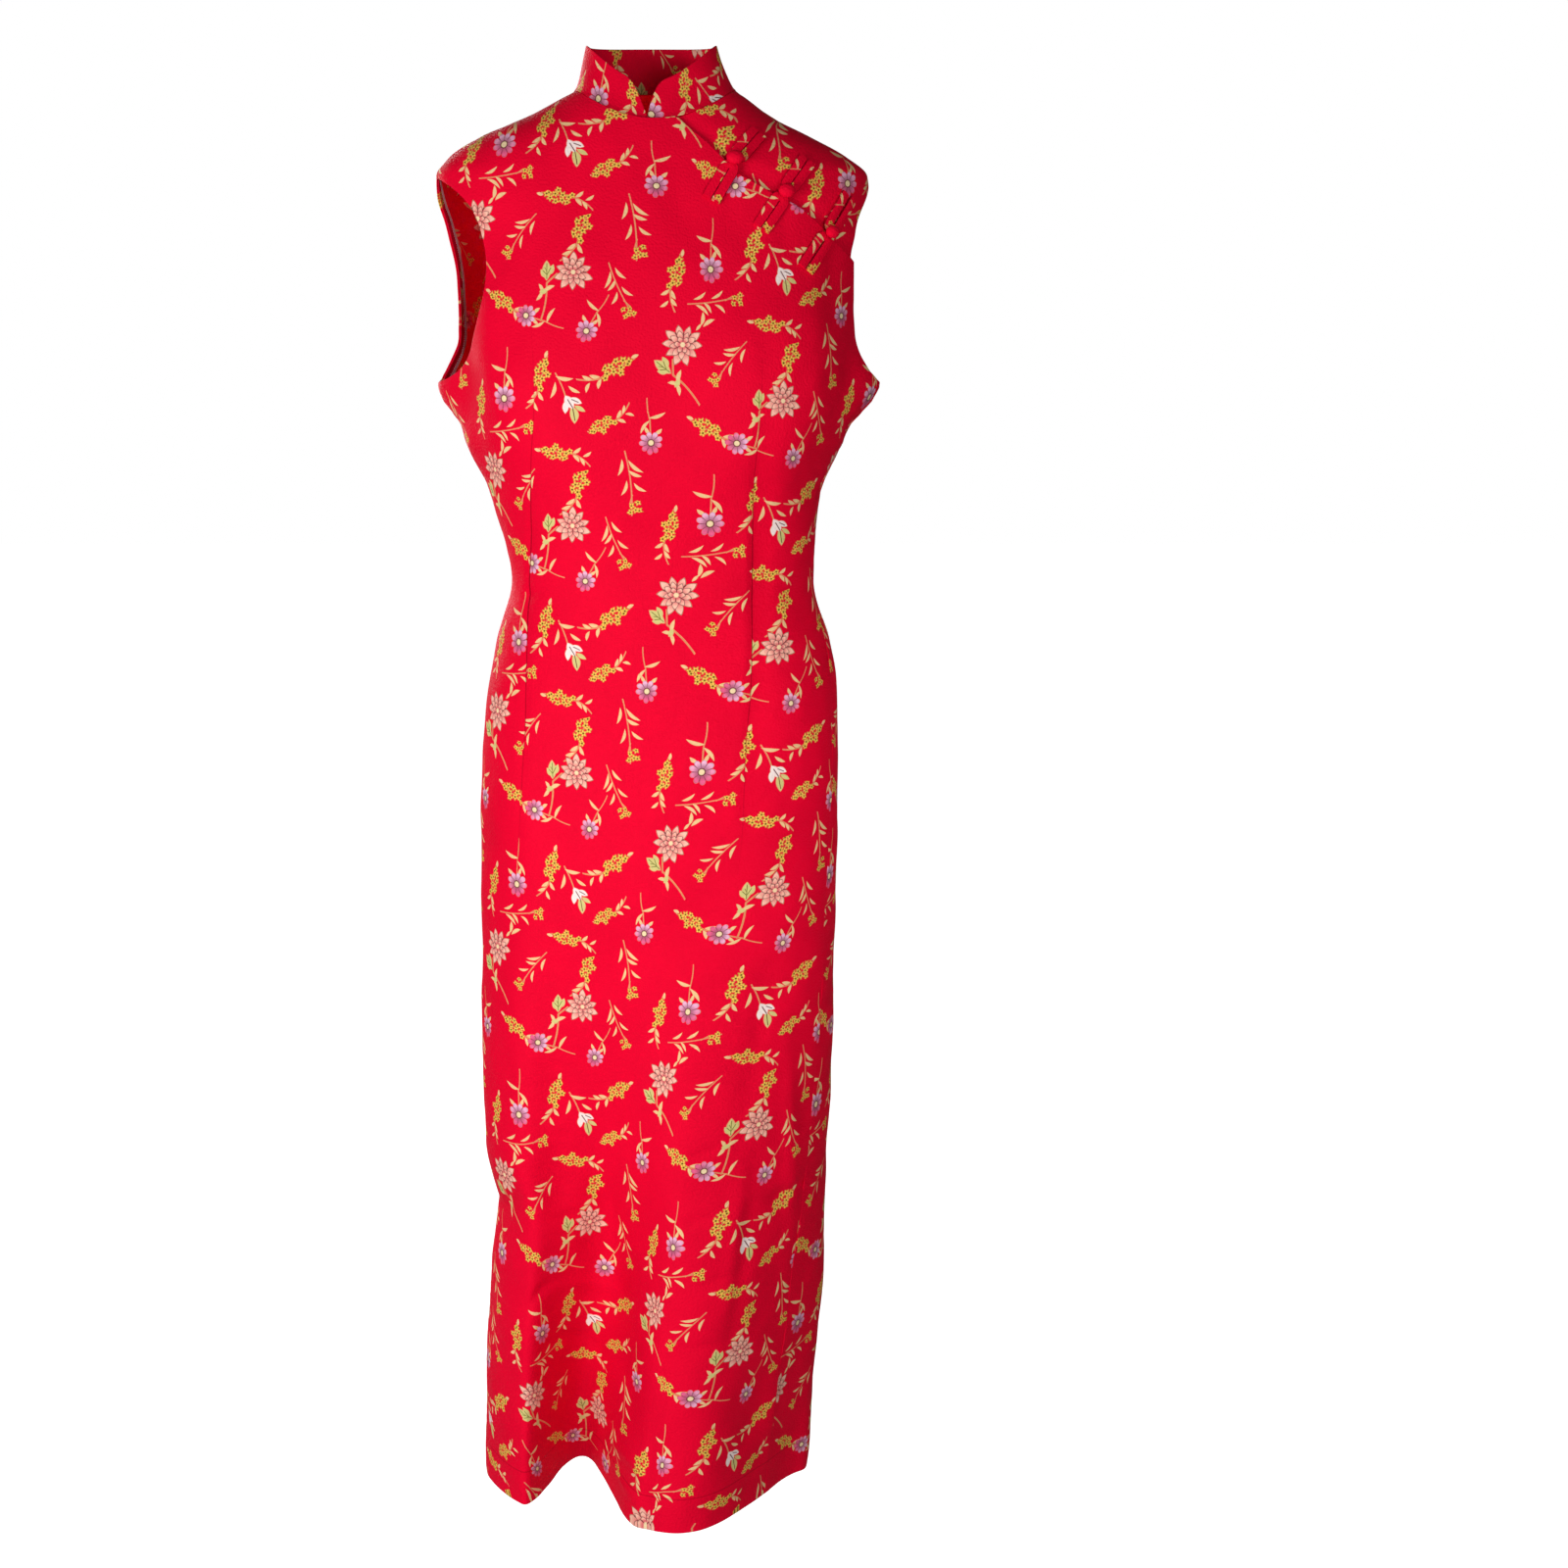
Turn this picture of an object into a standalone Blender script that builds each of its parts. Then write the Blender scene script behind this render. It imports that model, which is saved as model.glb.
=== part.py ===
# A long sleeveless cheongsam, worn, with a standing collar and three frog closures.
# Metres, +Z up, -Y is the front, +X is the side of the slanting opening.
# The origin is midway between the two points where neck and shoulder meet.
import math

import bpy
import numpy as np

# Driving dimensions
CLOTH = 0.0015
SEAM_GAP = 0.0003
HEM_HEIGHT = -1.370
PIT_HEIGHT = -0.265
TIP_HEIGHT = -0.078
NECK_DROP_FRONT = 0.031
NECK_RISE_BACK = 0.004
COLLAR_HEIGHT = 0.040
COLLAR_WALL = 0.0022
COLLAR_GAP = 0.0007
COLLAR_TOP_HALF_WIDTH = 0.0605
COLLAR_TOP_CENTRE = -0.0030
COLLAR_TOP_DEPTH = 0.0490
COLLAR_TOP_BACK = 0.0030
COLLAR_CORNER = 0.017
COLLAR_NOTCH = 0.0012
COLLAR_END_SHARE = 0.12
COLLAR_LEAN = 0.25
COLLAR_HOLLOW = 0.7
COLLAR_COLUMNS = 19
COLLAR_END_STEPS = (0, 0.004, 0.010, 0.018, 0.027, 0.038, 0.062, 0.095, 0.135)
UNDERLAP = 0.016
OVERLAP_FADE = 0.060
TUCK_DEPTH = 0.0020
TUCK_FADE = 0.020
TURNING_WIDTH = 0.012
TURNING_WALL = 0.0010
TURNING_GAP = 0.0008
TURNING_COLUMNS = 4
TUBE_WIDTH = 0.0080
TUBE_THICK = 0.0028
TUBE_SIDES = 8
STRAIGHT_STEPS = 5
BEND_STEPS = 8
KNOT_WIDTH = 0.0130
KNOT_THICK = 0.0095
KNOT_GAP = 0.0002
KNOT_SIDES = 14
KNOT_LEVELS = 7

# Grid of the big panels
ROWS_BELOW_PIT = 26
ROW_CROWDING = 1.25
ROWS_ABOVE_PIT = 18
ROW_EVENNESS = 0.6
SHOULDER_COLUMNS = 8
NECK_COLUMNS = 7
OPENING_COLUMNS = 12
PIECE_COLUMNS = 14
PIECE_ROWS = 10
COLLAR_ROWS = 4
SETTLING_ROUNDS = 30

# Rings round the figure, seen from above: left and right edge, depth to front and back,
# squareness, and the view angles of the two side seams
RING_COLUMNS = ("height", "left", "right", "front", "back", "full", "left_seam", "right_seam")
RINGS = (
    (0.012, -0.0710, 0.0700, 0.046, 0.056, 0.00, -95, 85),
    (0.000, -0.0740, 0.0750, 0.051, 0.058, 0.00, -94, 86),
    (-0.007, -0.0870, 0.0850, 0.053, 0.062, 0.00, -93, 87),
    (-0.024, -0.1200, 0.1090, 0.060, 0.071, 0.00, -91, 89),
    (-0.041, -0.1600, 0.1440, 0.067, 0.080, 0.00, -88, 92),
    (-0.059, -0.1900, 0.1780, 0.074, 0.087, 0.00, -85, 95),
    (-0.076, -0.2035, 0.1980, 0.080, 0.093, 0.00, -83, 97),
    (-0.094, -0.2035, 0.2000, 0.086, 0.099, 0.01, -81, 99),
    (-0.120, -0.1990, 0.1950, 0.094, 0.105, 0.02, -80, 100),
    (-0.174, -0.1900, 0.1910, 0.109, 0.110, 0.03, -80, 100),
    (-0.229, -0.1880, 0.1950, 0.116, 0.108, 0.04, -84, 96),
    (-0.265, -0.1880, 0.1940, 0.117, 0.104, 0.04, -88, 92),
    (-0.310, -0.1820, 0.1830, 0.115, 0.098, 0.04, -94, 86),
    (-0.366, -0.1580, 0.1590, 0.106, 0.088, 0.04, -99, 81),
    (-0.422, -0.1420, 0.1535, 0.094, 0.083, 0.04, -103, 77),
    (-0.450, -0.1380, 0.1535, 0.093, 0.084, 0.04, -104, 76),
    (-0.508, -0.1525, 0.1690, 0.098, 0.098, 0.04, -104, 75),
    (-0.566, -0.1630, 0.1780, 0.104, 0.113, 0.04, -103, 73),
    (-0.640, -0.1700, 0.1800, 0.108, 0.121, 0.04, -102, 71),
    (-0.760, -0.1715, 0.1795, 0.112, 0.117, 0.04, -101, 67),
    (-0.894, -0.1730, 0.1790, 0.118, 0.112, 0.04, -99, 63),
    (-1.019, -0.1715, 0.1755, 0.124, 0.111, 0.04, -97, 58),
    (-1.082, -0.1600, 0.1740, 0.127, 0.112, 0.04, -95, 54),
    (-1.146, -0.1665, 0.1735, 0.130, 0.113, 0.04, -94, 50),
    (-1.276, -0.1745, 0.1650, 0.136, 0.117, 0.04, -91, 46),
    (-1.370, -0.1765, 0.1600, 0.140, 0.122, 0.04, -90, 44),
)

# Folds that grow from their start down to the hem; angles are seen from above, 0 is the front
FOLD_SPREAD = 0.6
FOLD_COLUMNS = ("start", "angle_at_start", "angle_at_hem", "left_reach", "right_reach", "depth")
FOLDS = (
    (-0.720, -15, -22, 25, 20, -0.129),
    (-0.740, 14, 12, 18, 24, 0.015),
    (-0.800, 58, 56, 38, 32, -0.034),
    (-0.800, 122, 118, 20, 22, 0.010),
    (-0.840, 152, 147, 16, 15, -0.014),
    (-0.780, 180, 174, 16, 16, 0.012),
    (-0.860, 208, 202, 16, 15, -0.013),
    (-0.800, 236, 232, 18, 18, 0.010),
)

# Local fullness of the figure: bust, underarm corners, shoulder blades and seat
SWELL_COLUMNS = ("height", "angle", "height_reach", "angle_reach", "depth")
SWELLS = (
    (-0.275, -34, 0.150, 36, 0.014),
    (-0.275, 34, 0.150, 36, 0.014),
    (-0.266, -90, 0.046, 30, 0.017),
    (-0.266, 90, 0.046, 30, 0.020),
    (-0.170, 148, 0.110, 34, 0.007),
    (-0.170, 212, 0.110, 34, 0.007),
    (-0.640, 150, 0.130, 38, 0.010),
    (-0.640, 210, 0.130, 38, 0.010),
)

# Armhole edge from the pit up to the shoulder tip: degrees cut in from the seam, front and back
ARMHOLE_COLUMNS = ("height", "front", "back")
ARMHOLE = (
    (-0.265, 0, 0),
    (-0.262, 8, 6),
    (-0.254, 15, 9.5),
    (-0.238, 20.5, 13),
    (-0.212, 24.5, 16.5),
    (-0.180, 27, 19.5),
    (-0.148, 28, 20.5),
    (-0.128, 27.5, 19),
    (-0.110, 25, 15.5),
    (-0.095, 19.5, 11),
    (-0.084, 10.5, 5.5),
    (-0.078, 0, 0),
)

# Slanting opening from the neckline to the armhole, as seen from the front
OPENING_PATH_COLUMNS = ("across", "height")
OPENING_PATH = (
    (0.022, -0.0310),
    (0.042, -0.0490),
    (0.067, -0.0750),
    (0.086, -0.0865),
    (0.107, -0.0980),
    (0.126, -0.1070),
    (0.149, -0.1240),
    (0.166, -0.1400),
)
OPENING_END_HEIGHT = -0.155

# Frog closures, as seen from the front: end of the loop side, knot, end of the knot side
FROG_COLUMNS = ("top_across", "top_height", "knot_across", "knot_height", "low_across", "low_height")
FROGS = (
    (0.0935, -0.0430, 0.0705, -0.0700, 0.0500, -0.1040),
    (0.1380, -0.0670, 0.1160, -0.0975, 0.0945, -0.1290),
    (0.1770, -0.0970, 0.1560, -0.1315, 0.1350, -0.1640),
)

RED_PRINT = (0.560, 0.006, 0.022, 1.0)
RED_PLAIN = (0.600, 0.007, 0.026, 1.0)
RED_INSIDE = (0.400, 0.010, 0.024, 1.0)
CLOTH_ROUGHNESS = 0.62
FROG_ROUGHNESS = 0.55
PANEL_SMOOTHING = 40
FROG_SMOOTHING = 60


def column(rows, names, name):
    """One named column of a table."""
    return np.array([row[names.index(name)] for row in rows], float)


def slopes_of(places, values):
    """Slopes of a smooth curve that never overshoots its points."""
    steps = np.diff(places)
    secants = np.diff(values) / steps
    slopes = np.zeros(len(values))
    slopes[0], slopes[-1] = secants[0], secants[-1]
    for i in range(1, len(values) - 1):
        if secants[i - 1] * secants[i] > 0:
            near = 2 * steps[i] + steps[i - 1]
            far = steps[i] + 2 * steps[i - 1]
            slopes[i] = (near + far) / (near / secants[i - 1] + far / secants[i])
    return slopes


def smooth_curve(places, values):
    """A function through the points, smooth and held level past its ends."""
    order = np.argsort(places)
    places, values = places[order], values[order]
    slopes = slopes_of(places, values)

    def read(where):
        where = np.clip(where, places[0], places[-1])
        i = np.clip(np.searchsorted(places, where) - 1, 0, len(places) - 2)
        step = places[i + 1] - places[i]
        t = (where - places[i]) / step
        return ((1 + 2 * t) * (1 - t) ** 2 * values[i] + t * (1 - t) ** 2 * step * slopes[i]
                + t * t * (3 - 2 * t) * values[i + 1] + t * t * (t - 1) * step * slopes[i + 1])

    return read


RING = {name: smooth_curve(column(RINGS, RING_COLUMNS, "height"), column(RINGS, RING_COLUMNS, name))
        for name in RING_COLUMNS[1:]}
NECK_HALF_WIDTH = float(RING["right"](0.0) - RING["left"](0.0)) / 2
NECK_CENTRE = float(RING["right"](0.0) + RING["left"](0.0)) / 2


def bell(u):
    """A smooth hump of height 1 between -1 and 1."""
    return np.where(np.abs(u) < 1, np.cos(np.clip(u, -1, 1) * math.pi / 2) ** 2, 0.0)


def turn_between(angle, centre):
    """Degrees from centre to angle, the short way round."""
    return (angle - centre + 180) % 360 - 180


def fold_depth(angle, height):
    """How far the hanging folds move the cloth forwards, or backwards on the back."""
    total = np.zeros(np.broadcast(angle, height).shape)
    for row in FOLDS:
        fold = dict(zip(FOLD_COLUMNS, row))
        grown = np.clip((fold["start"] - height) / (fold["start"] - HEM_HEIGHT), 0, 1.05)
        centre = fold["angle_at_start"] + (fold["angle_at_hem"] - fold["angle_at_start"]) * grown
        away = turn_between(angle, centre)
        reach = np.where(away < 0, fold["left_reach"], fold["right_reach"])
        reach = reach * (1 + FOLD_SPREAD * (1 - grown))
        total = total + fold["depth"] * grown ** 1.3 * bell(away / reach)
    return total


def swell_depth(angle, height):
    """How far the figure's fullness moves the cloth outwards."""
    total = np.zeros(np.broadcast(angle, height).shape)
    for row in SWELLS:
        swell = dict(zip(SWELL_COLUMNS, row))
        total = total + (swell["depth"] * bell((height - swell["height"]) / swell["height_reach"])
                         * bell(turn_between(angle, swell["angle"]) / swell["angle_reach"]))
    return total


def figure_point(angle, height):
    """Point of the outer cloth at a view angle and a height."""
    sine, cosine = np.sin(np.radians(angle)), np.cos(np.radians(angle))
    left, right = RING["left"](height), RING["right"](height)
    depth = np.where(cosine > 0, RING["front"](height), RING["back"](height))
    full = RING["full"](height)
    out = swell_depth(angle, height)
    x = (left + right) / 2 + (right - left) / 2 * sine * (1 + full * cosine ** 2) + out * sine
    y = -depth * cosine * (1 + full * sine ** 2) - out * cosine
    y = y - fold_depth(angle, height) * np.tanh(4 * cosine)
    return np.stack([x, y, height + 0 * x], axis=-1)


def view_angle(place, height):
    """View angle of a place on the cut cloth: -90 and 90 are the side seams, 180 the back."""
    left, right = RING["left_seam"](height), RING["right_seam"](height)
    front = left + (right - left) * (place + 90) / 180
    back = right + (left + 360 - right) * (place - 90) / 180
    return np.where(place > 90, back, front)


def cloth_point(place, height, lift=0.0):
    """Point on the worn cloth, lifted outwards by lift."""
    angle = view_angle(place, height)
    normal = cloth_normal(angle, height)
    return figure_point(angle, height) + normal * np.asarray(lift)[..., None]


def cloth_normal(angle, height):
    """Outward unit normal of the figure."""
    step_angle, step_height = 0.2, 0.0005
    around = figure_point(angle + step_angle, height) - figure_point(angle - step_angle, height)
    up = figure_point(angle, height + step_height) - figure_point(angle, height - step_height)
    normal = np.cross(around, up)
    return normal / np.linalg.norm(normal, axis=-1, keepdims=True)


def place_at(across, height):
    """Place on the front whose point lies that far across, by halving."""
    low, high = -90.0, 90.0
    for _ in range(40):
        middle = (low + high) / 2
        if figure_point(view_angle(middle, height), height)[0] < across:
            low = middle
        else:
            high = middle
    return (low + high) / 2


def along(points, fractions):
    """Points at even fractions of a smooth line through a list of points."""
    points = np.asarray(points, float)
    gaps = np.linalg.norm(np.diff(points, axis=0) * [1.0, 600.0], axis=1)
    places = np.concatenate([[0], np.cumsum(gaps)]) / gaps.sum()
    return np.stack([smooth_curve(places, points[:, i])(np.asarray(fractions)) for i in (0, 1)], axis=1)


def armhole(side, face, fractions, low=PIT_HEIGHT, high=TIP_HEIGHT):
    """Armhole edge between two heights; side is -1 or 1, face is front or back."""
    height = column(ARMHOLE, ARMHOLE_COLUMNS, "height")
    cut_in = column(ARMHOLE, ARMHOLE_COLUMNS, face)
    curve = smooth_curve(height, cut_in)
    inner = [h for h in height if low < h < high]
    heights = np.array([low] + inner + [high])
    towards_front = -1 if face == "front" else 1
    places = 90 + towards_front * curve(heights)
    if side < 0:
        places = -places if face == "front" else 360 - places
    return along(np.stack([places, heights], axis=1), fractions)


def up_the_armhole():
    """Fractions from pit to tip, closer together near both ends."""
    even = np.linspace(0, 1, ROWS_ABOVE_PIT + 1)
    return ROW_EVENNESS * even + (1 - ROW_EVENNESS) * (1 - np.cos(math.pi * even)) / 2


def shoulder_seam(side, face, fractions):
    """Shoulder seam from the tip up to the neck point."""
    place = 90 * side if face == "front" or side > 0 else 270
    heights = TIP_HEIGHT * (1 - np.asarray(fractions))
    return np.stack([np.full(len(heights), float(place)), heights], axis=1)


def neck_place(turn):
    """Place and height of the neckline at a turn round the neck; 0 is the front."""
    cosine = math.cos(math.radians(turn))
    drop = -NECK_DROP_FRONT * cosine ** 2 if cosine > 0 else NECK_RISE_BACK * cosine ** 2
    across = NECK_CENTRE + NECK_HALF_WIDTH * math.sin(math.radians(turn))
    if cosine > 0:
        return place_at(across, drop), drop
    centre = (RING["left"](drop) + RING["right"](drop)) / 2
    half = (RING["right"](drop) - RING["left"](drop)) / 2
    sine = max(-1.0, min(1.0, (across - centre) / half))
    angle = 180 - math.degrees(math.asin(sine))
    left, right = RING["left_seam"](drop), RING["right_seam"](drop)
    return 90 + 180 * (angle - right) / (left + 360 - right), drop


def opening_turn():
    """Turn round the neck at which the slanting opening starts."""
    return math.degrees(math.asin((OPENING_PATH[0][0] - NECK_CENTRE) / NECK_HALF_WIDTH))


def opening_line():
    """The slanting opening as places on the cloth, from neckline to armhole."""
    points = [(place_at(across, height), height) for across, height in OPENING_PATH]
    end = armhole(1, "front", [1.0], high=OPENING_END_HEIGHT)[0]
    return points + [tuple(end)]


OPENING = opening_line()
OPENING_SEEN = np.array([cloth_point(np.array(place), np.array(height))[[0, 2]]
                         for place, height in along(OPENING, np.linspace(0, 1, 33))])


def off_opening(points):
    """Distance of points from the opening line, seen from the front."""
    seen = points[..., None, [0, 2]] - OPENING_SEEN
    return np.sqrt((seen ** 2).sum(axis=-1)).min(axis=-1)


def level(points):
    """A panel that lies on the figure's own surface."""
    return np.zeros(points.shape[:-1])


def front_lift(points):
    """The front panel stands off the shoulder piece along the opening."""
    fade = np.clip(1 - off_opening(points) / OVERLAP_FADE, 0, 1)
    return (CLOTH + SEAM_GAP) * fade * fade * (3 - 2 * fade)


def tucked_lift(points):
    """The shoulder piece sinks a little where it goes under the front panel."""
    line = np.interp(points[..., 0], OPENING_SEEN[:, 0], OPENING_SEEN[:, 1])
    under = np.clip(1.25 - (points[..., 2] - line) / TUCK_FADE, 0, 1)
    return -TUCK_DEPTH * under * under * (3 - 2 * under)


def net(bottom, top, left, right, steps):
    """Grid stretched between four edges; rows run from bottom to top at the given steps."""
    across = np.linspace(0, 1, len(bottom))[None, :, None]
    up = steps[:, None, None]
    sides = (1 - across) * left[:, None] + across * right[:, None]
    ends = (1 - up) * bottom[None] + up * top[None]
    corners = ((1 - across) * (1 - up) * bottom[0] + across * (1 - up) * bottom[-1]
               + (1 - across) * up * top[0] + across * up * top[-1])
    return sides + ends - corners


def patch(bottom, top, left, right, steps):
    """Grid of cloth places between four edges, spread evenly over the worn cloth."""
    grid = net(bottom, top, left, right, steps)
    worn = cloth_point(grid[..., 0], grid[..., 1])
    wanted = net(worn[0], worn[-1], worn[:, 0], worn[:, -1], steps)[1:-1, 1:-1]
    place, height = grid[1:-1, 1:-1, 0], grid[1:-1, 1:-1, 1]
    degree, rise = 0.1, 0.0005
    for _ in range(SETTLING_ROUNDS):
        here = cloth_point(place, height)
        by_place = (cloth_point(place + degree, height) - here) / degree
        by_height = (cloth_point(place, height + rise) - here) / rise
        miss = wanted - here
        a = (by_place * by_place).sum(axis=-1) * 1.001
        b = (by_place * by_height).sum(axis=-1)
        c = (by_height * by_height).sum(axis=-1) * 1.001
        p = (by_place * miss).sum(axis=-1)
        q = (by_height * miss).sum(axis=-1)
        spread = a * c - b * b
        place += np.clip((c * p - b * q) / spread, -5, 5)
        height += np.clip((a * q - b * p) / spread, -0.01, 0.01)
    return grid


def below_pit(places):
    """Grid of cloth places from the hem up to just under the armpit line."""
    steps = np.linspace(0, 1, ROWS_BELOW_PIT + 1)[:-1]
    heights = HEM_HEIGHT + (PIT_HEIGHT - HEM_HEIGHT) * (1 - (1 - steps) ** ROW_CROWDING)
    grid = np.zeros((len(heights), len(places), 2))
    grid[..., 0] = places[None]
    grid[..., 1] = heights[:, None]
    return grid


def ease_edges(points):
    """Draw the outer edge of a grid in by half a seam gap."""
    eased = points.copy()
    for edge, inner in (((0, slice(None)), (1, slice(None))), ((-1, slice(None)), (-2, slice(None))),
                        ((slice(None), 0), (slice(None), 1)), ((slice(None), -1), (slice(None), -2))):
        towards = points[inner] - points[edge]
        towards = towards / np.linalg.norm(towards, axis=-1, keepdims=True)
        eased[edge] = eased[edge] + towards * SEAM_GAP / 2
    return eased


def wall_mesh(name, outer, inner):
    """Closed wall between two grids of the same size."""
    rows, columns = outer.shape[:2]
    count = rows * columns
    points = np.concatenate([outer.reshape(-1, 3), inner.reshape(-1, 3)])

    def at(row, col, skin=0):
        return skin * count + row * columns + col

    faces = []
    for row in range(rows - 1):
        for col in range(columns - 1):
            square = (at(row, col), at(row, col + 1), at(row + 1, col + 1), at(row + 1, col))
            faces.append(square)
            faces.append(tuple(count + i for i in reversed(square)))
    rim = [(0, col) for col in range(columns)]
    rim += [(row, columns - 1) for row in range(1, rows)]
    rim += [(rows - 1, col) for col in range(columns - 2, -1, -1)]
    rim += [(row, 0) for row in range(rows - 2, 0, -1)]
    for here, there in zip(rim, rim[1:] + rim[:1]):
        faces.append((at(*there), at(*here), at(*here, 1), at(*there, 1)))
    mesh = bpy.data.meshes.new(name)
    mesh.from_pydata([tuple(p) for p in points], [], faces)
    return mesh


def material(name, colour, roughness):
    """A plain cloth finish."""
    finish = bpy.data.materials.new(name)
    finish.use_nodes = True
    shader = finish.node_tree.nodes["Principled BSDF"]
    shader.inputs["Base Color"].default_value = colour
    shader.inputs["Roughness"].default_value = roughness
    shader.inputs["Metallic"].default_value = 0.0
    return finish


def add_piece(name, mesh, colour, roughness=CLOTH_ROUGHNESS, smooth_angle=PANEL_SMOOTHING):
    """Put a mesh into the scene as one named piece."""
    piece = bpy.data.objects.new(name, mesh)
    bpy.context.scene.collection.objects.link(piece)
    mesh.shade_smooth()
    mesh.set_sharp_from_angle(angle=math.radians(smooth_angle))
    mesh.materials.append(material(name + "_finish", colour, roughness))
    return piece


def add_panel(name, grid, lift=level):
    """A cut panel: a wall of cloth on a grid of places."""
    places, heights = grid[..., 0], grid[..., 1]
    raised = lift(cloth_point(places, heights))
    outer = cloth_point(places, heights, raised)
    inner = cloth_point(places, heights, raised - CLOTH)
    return add_piece(name, wall_mesh(name, ease_edges(outer), ease_edges(inner)), RED_PRINT)


def front_grid():
    """Front: hem, both side seams, left shoulder, neckline and the slanting opening."""
    columns = SHOULDER_COLUMNS + NECK_COLUMNS + OPENING_COLUMNS
    places = np.linspace(-90, 90, columns + 1)
    shoulder = shoulder_seam(-1, "front", np.linspace(0, 1, SHOULDER_COLUMNS + 1)[:-1])
    neck = np.array([neck_place(turn) for turn in np.linspace(-90, opening_turn(), NECK_COLUMNS + 1)[:-1]])
    opening = along(OPENING, np.linspace(0, 1, OPENING_COLUMNS + 1))
    up = up_the_armhole()
    bottom = np.stack([places, np.full(len(places), PIT_HEIGHT)], axis=1)
    left = armhole(-1, "front", up)
    right = armhole(1, "front", up, high=OPENING_END_HEIGHT)
    above = patch(bottom, np.concatenate([shoulder, neck, opening]), left, right, up)
    return np.concatenate([below_pit(places), above])


def back_grid():
    """Back: hem, both side seams, both shoulders and the back neckline."""
    neck_columns = NECK_COLUMNS + OPENING_COLUMNS - SHOULDER_COLUMNS
    places = np.linspace(90, 270, SHOULDER_COLUMNS + NECK_COLUMNS + OPENING_COLUMNS + 1)
    right_shoulder = shoulder_seam(1, "back", np.linspace(0, 1, SHOULDER_COLUMNS + 1)[:-1])
    neck = np.array([neck_place(turn) for turn in np.linspace(90.001, 269.999, neck_columns + 1)[:-1]])
    left_shoulder = shoulder_seam(-1, "back", np.linspace(1, 0, SHOULDER_COLUMNS + 1))
    up = up_the_armhole()
    bottom = np.stack([places, np.full(len(places), PIT_HEIGHT)], axis=1)
    top = np.concatenate([right_shoulder, neck, left_shoulder])
    above = patch(bottom, top, armhole(1, "back", up), armhole(-1, "back", up), up)
    return np.concatenate([below_pit(places), above])


def shoulder_piece_grid():
    """Right shoulder piece: from under the opening up to neckline, shoulder seam and armhole."""
    tucked_turn = opening_turn() - math.degrees(UNDERLAP / NECK_HALF_WIDTH)
    up = np.linspace(0, 1, PIECE_ROWS + 1)
    neck = np.array([neck_place(turn) for turn in tucked_turn + (90 - tucked_turn) * up])
    across = np.linspace(0, 1, PIECE_COLUMNS + 1)
    tucked = along(OPENING, across)
    tucked[:, 1] = tucked[:, 1] - UNDERLAP
    tucked[0] = neck[0]
    side = armhole(1, "front", up, low=OPENING_END_HEIGHT - UNDERLAP)
    tucked[-1] = side[0]
    shoulder = shoulder_seam(1, "front", 1 - across)
    return patch(tucked, shoulder, neck, side, up)


def add_collar():
    """Standing collar: a band on the neckline whose rounded ends meet at the front."""
    gap_turn = math.degrees(COLLAR_NOTCH / 2 / NECK_HALF_WIDTH)
    ends = np.array(COLLAR_END_STEPS)
    step = (1 - 2 * ends[-1]) / (COLLAR_COLUMNS + 1)
    middle = ends[-1] + step * np.arange(1, COLLAR_COLUMNS + 1)
    fractions = np.concatenate([ends, middle, 1 - ends[::-1]])
    turns = gap_turn + fractions * (360 - 2 * gap_turn)
    grid = np.zeros((2, COLLAR_ROWS + 1, len(turns), 3))
    for col, turn in enumerate(turns):
        place, height = neck_place(turn)
        base = cloth_point(np.array(place), np.array(height))
        sine, cosine = math.sin(math.radians(turn)), math.cos(math.radians(turn))
        top = np.array([COLLAR_TOP_CENTRE + COLLAR_TOP_HALF_WIDTH * sine,
                        COLLAR_TOP_BACK - COLLAR_TOP_DEPTH * cosine, height + COLLAR_HEIGHT])
        near_end = min(turn, 360 - turn) * math.radians(1) * NECK_HALF_WIDTH
        rounded = 1 - min(near_end / COLLAR_CORNER, 1.0)
        tall = max(math.sqrt(1 - rounded ** 2), COLLAR_END_SHARE)
        outward = np.array([sine, -cosine, COLLAR_LEAN])
        outward = outward / np.linalg.norm(outward)
        foot = base + np.array([0, 0, COLLAR_GAP])
        for row in range(COLLAR_ROWS + 1):
            up = tall * row / COLLAR_ROWS
            inwards = up ** COLLAR_HOLLOW
            point = foot + (top - foot) * np.array([inwards, inwards, up])
            grid[0, row, col] = point
            grid[1, row, col] = point - outward * COLLAR_WALL
    return add_piece("collar", wall_mesh("collar", grid[0], grid[1]), RED_PRINT)


def add_turning(side, word):
    """Edge turned to the inside of the back along one armhole, made from the back's own points."""
    grid = back_grid()[ROWS_BELOW_PIT + 2:-1]
    grid = grid[:, :TURNING_COLUMNS] if side > 0 else grid[:, :-TURNING_COLUMNS - 1:-1]
    skins = []
    for depth in (CLOTH + TURNING_GAP, CLOTH + TURNING_GAP + TURNING_WALL):
        points = cloth_point(grid[..., 0], grid[..., 1], np.full(grid.shape[:2], -depth))
        strips = [walk_row(row, np.linspace(0, TURNING_WIDTH, 3)) for row in points]
        skins.append(np.array(strips) if side > 0 else np.array(strips)[:, ::-1])
    name = "armhole_turning_" + word
    return add_piece(name, wall_mesh(name, *skins), RED_INSIDE)


def walk_row(row, distances):
    """Points at given distances along a row of points."""
    lengths = np.concatenate([[0], np.cumsum(np.linalg.norm(np.diff(row, axis=0), axis=1))])
    return np.stack([np.interp(distances, lengths, row[:, i]) for i in range(3)], axis=1)


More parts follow.
